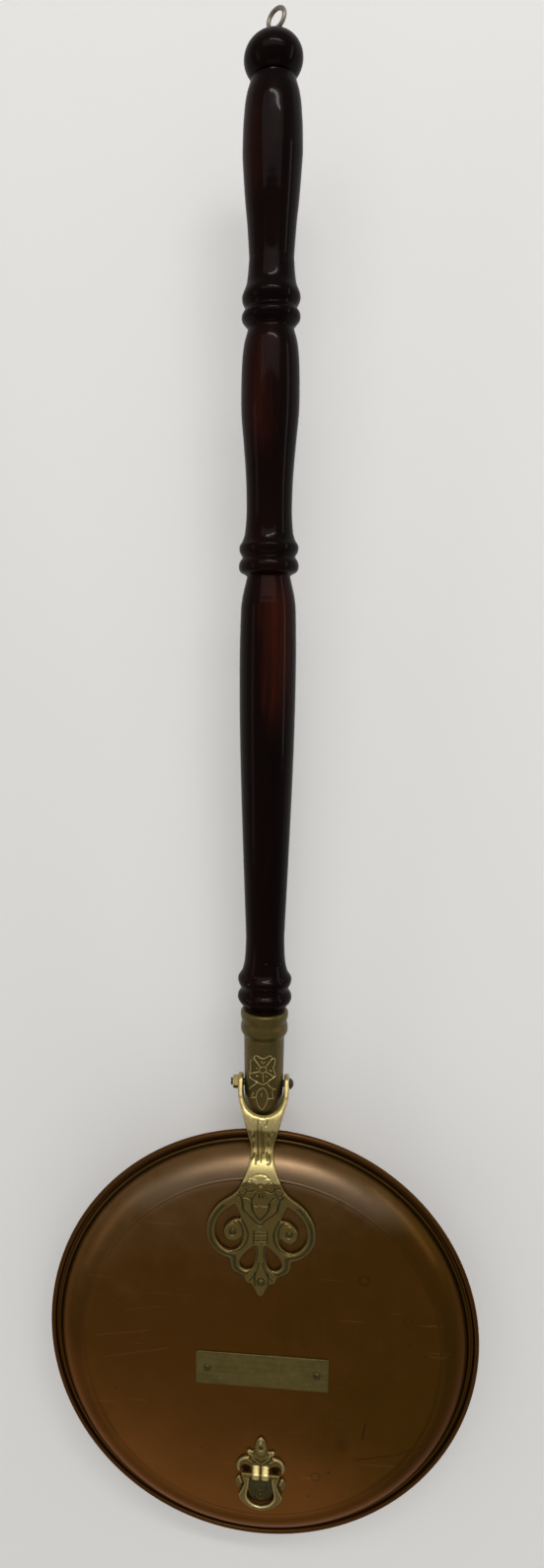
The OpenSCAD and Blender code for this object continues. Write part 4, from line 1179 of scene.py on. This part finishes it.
class WARMINGPAN_OT_socket(bpy.types.Operator):
    """Makes the brass socket with its engraved rose, and finishes its bolt, nut and rivets."""

    bl_idname = "warmingpan.socket"
    bl_label = "Socket"

    def execute(self, context):
        size = settings().relief
        shape = merged_copy("handle_socket")
        dark = material("socket_brass", brass_finish, worn=0.22)
        bright = material("engraved_brass", brass_finish, worn=0.85)
        lines = bpy.data.curves.new("engraving", "CURVE")
        lines.dimensions = "3D"
        lines.bevel_depth = size.engraving
        lines.bevel_resolution = 1
        lines.use_fill_caps = True
        up = SOCKET_AXIS.cross(Vector((1, 0, 0))) * -1
        for line in SOCKET_LINES:
            points = curved(line, 4)
            spline = lines.splines.new("POLY")
            spline.points.add(len(points) - 1)
            for target, (across, along) in zip(spline.points, points):
                wide = SOCKET_RADIUS + max(along, 0) * MM * SOCKET_FLARE
                angle = across * MM / wide
                place = (HINGE + SOCKET_AXIS * along * MM + Vector((1, 0, 0)) * wide
                         * math.sin(angle) + up * wide * math.cos(angle))
                target.co = (*place, 1)
        raised = applied(placed("engraving", lines))
        bmesh.ops.recalc_face_normals(raised, faces=raised.faces)
        piece("socket_cast", shape, ROOT_BODY, dark, ("handle_socket",), crease=30)
        piece("socket_engraving", raised, ROOT_BODY, bright, crease=60)
        dress("socket_backing", material("plain_brass", brass_finish, worn=0.35))
        dress("hinge_nut", material("worn_brass", brass_finish, worn=0.9))
        dress("socket_rivets", material("rivet_copper", copper_finish))
        dress("hinge_bolt", dull_steel())
        return {"FINISHED"}


class WARMINGPAN_OT_handle(bpy.types.Operator):
    """Makes the three lacquered sections of the handle, and finishes the studs and the eye."""

    bl_idname = "warmingpan.handle"
    bl_label = "Handle"

    def execute(self, context):
        for node in ("handle_lower", "handle_middle", "handle_top"):
            piece(node + "_lacquered", merged_copy(node), ROOT_BODY,
                  material("lacquered_wood", wood_finish), (node,), crease=32)
        dress("section_studs", dull_steel())
        dress("hanging_eye", material("bronzed_steel", steel_finish, "bronze"))
        return {"FINISHED"}


# The even light by direction, from the near side, -Y, to the far side, +Y: place and level
SKY = [((1 + way) / 2, (level,) * 3) for way, level in (
    (-1, 0.18), (-0.8, 0.25), (-0.5, 0.28), (0, 0.30), (0.5, 0.35), (1, 0.40))]


# The lamps, each with its place, what it points at, its size and its colour
WHITE = (1, 1, 1)
LAMPS = [("ceiling", (0, 1.95, 2.4), (0, 0.6, 0.1), (3.6, 1.3), WHITE),
         ("strip", (0.4, 2.5, 2.4), (0.1, 0.3, 0.1), (1.8, 0.14), WHITE),
         ("near", (0, -1.95, 1.95), (0, -0.1, 0.1), (3.0, 0.75), (1, 0.86, 0.66)),
         ("left", (-2.0, 0.3, 1.1), (0, 0.1, 0.1), (1.4, 0.5), WHITE),
         ("side", (1.9, 0.85, 0.62), (0, 0.75, 0.1), (1.6, 0.24), WHITE)]
BACKDROP = (0.80, 0.79, 0.775)
GLOW = (1, 0.99, 0.97)
MIDDLE = (0, 0.35)  # of the floor under the pan and its handle
PHOTO_SIZE = (551, 1589)


class WARMINGPAN_OT_studio(bpy.types.Operator):
    """Sets the pale floor, the soft lamps and the camera."""

    bl_idname = "warmingpan.studio"
    bl_label = "Studio"

    def execute(self, context):
        studio = settings().studio
        scene = context.scene
        scene.view_settings.view_transform = "Standard"
        self.floor()
        self.world(scene, studio)
        for name, place, target, size, tint in LAMPS:
            self.lamp(name, place, target, size, getattr(studio, name), tint)
        self.camera(scene, studio)
        return {"FINISHED"}

    def floor(self):
        """A pale floor that glows a little to the camera, and more far off, like the backdrop."""
        shape = bmesh.new()
        bmesh.ops.create_grid(shape, x_segments=1, y_segments=1, size=30)
        mesh = bpy.data.meshes.new("floor")
        shape.to_mesh(mesh)
        shape.free()
        finish = Finish("pale_floor")
        seen = finish.node("LightPath", output="Is Camera Ray")
        mirrored = finish.node("LightPath", output="Is Glossy Ray")
        far = finish.away(*MIDDLE).rise(0.9, 4)
        share = (seen + mirrored).clamp() * 0.14 + seen * far * 0.40
        pale = finish.mix(share, (0, 0, 0), GLOW)
        finish.set(Base_Color=settings().colours.floor, Roughness=0.9,
                   Emission_Color=pale, Emission_Strength=1)
        mesh.materials.append(finish.material)
        placed("floor", mesh)

    def world(self, scene, studio):
        """Even light, a little dimmer at the near side, and a plain pale backdrop."""
        world = bpy.data.worlds.new("studio")
        world.use_nodes = True
        scene.world = world
        nodes = Nodes(world.node_tree)
        way = nodes.node("SeparateXYZ", {}, {0: nodes.node("TexCoord", output="Generated")}, "Y")
        sky = nodes.node("ValToRGB", {"stops": SKY}, {0: way * 0.5 + 0.5})
        seen = nodes.node("LightPath", output="Is Camera Ray")
        mirrored = nodes.node("LightPath", output="Is Glossy Ray")
        shown = nodes.mix((seen + mirrored * 0.15).clamp(), sky, BACKDROP)
        background = next(n for n in world.node_tree.nodes if n.type == "BACKGROUND")
        nodes.feed(background.inputs["Color"], shown)
        background.inputs["Strength"].default_value = studio.fill

    def lamp(self, name, place, target, size, brightness, tint):
        """A flat lamp of a size and a brightness, which is 1 for a white wall in full light."""
        light = bpy.data.lights.new(name, "AREA")
        light.shape = "RECTANGLE"
        light.size, light.size_y = size
        light.color = tint
        light.energy = brightness * math.pi * size[0] * size[1]
        made = placed(name, light)
        made.location = place
        way = Vector(target) - Vector(place)
        made.rotation_euler = way.to_track_quat("-Z", "Y").to_euler()
        made.visible_camera = False

    def camera(self, scene, studio):
        """The photograph's own camera: its frame is as high as the lens is wide."""
        wide, high = PHOTO_SIZE
        lens = bpy.data.cameras.new("camera")
        lens.sensor_width = 36
        lens.lens = studio.focal * lens.sensor_width / high
        lens.shift_x = (wide / 2 - studio.centre_x) / high
        lens.clip_start = 0.02
        made = placed("camera", lens)
        made.location = studio.camera
        turn = Vector(studio.turn)
        made.rotation_euler = Matrix.Rotation(turn.length, 3, turn.normalized()).to_euler()
        scene.camera = made


class WARMINGPAN_PT_panel(bpy.types.Panel):
    """Lists the warming pan's operators."""

    bl_idname = "WARMINGPAN_PT_panel"
    bl_label = "Warming pan"
    bl_space_type = "VIEW_3D"
    bl_region_type = "UI"
    bl_category = "Warming pan"

    def draw(self, context):
        for operator in OPERATORS:
            self.layout.operator(operator.bl_idname)


OPERATORS = (WARMINGPAN_OT_pan, WARMINGPAN_OT_lid, WARMINGPAN_OT_strap, WARMINGPAN_OT_plate,
             WARMINGPAN_OT_pull, WARMINGPAN_OT_socket, WARMINGPAN_OT_handle,
             WARMINGPAN_OT_studio)
GROUPS = (SheetSizes, ReliefSizes, Colours, StudioSizes, WarmingPan)


def register():
    for group in GROUPS + OPERATORS + (WARMINGPAN_PT_panel,):
        bpy.utils.register_class(group)
    bpy.types.Scene.warming_pan = PointerProperty(type=WarmingPan)


def unregister():
    del bpy.types.Scene.warming_pan
    for group in reversed(GROUPS + OPERATORS + (WARMINGPAN_PT_panel,)):
        bpy.utils.unregister_class(group)


def main():
    register()
    for operator in OPERATORS:
        group, name = operator.bl_idname.split(".")
        getattr(getattr(bpy.ops, group), name)()


if __name__ == "__main__":
    main()
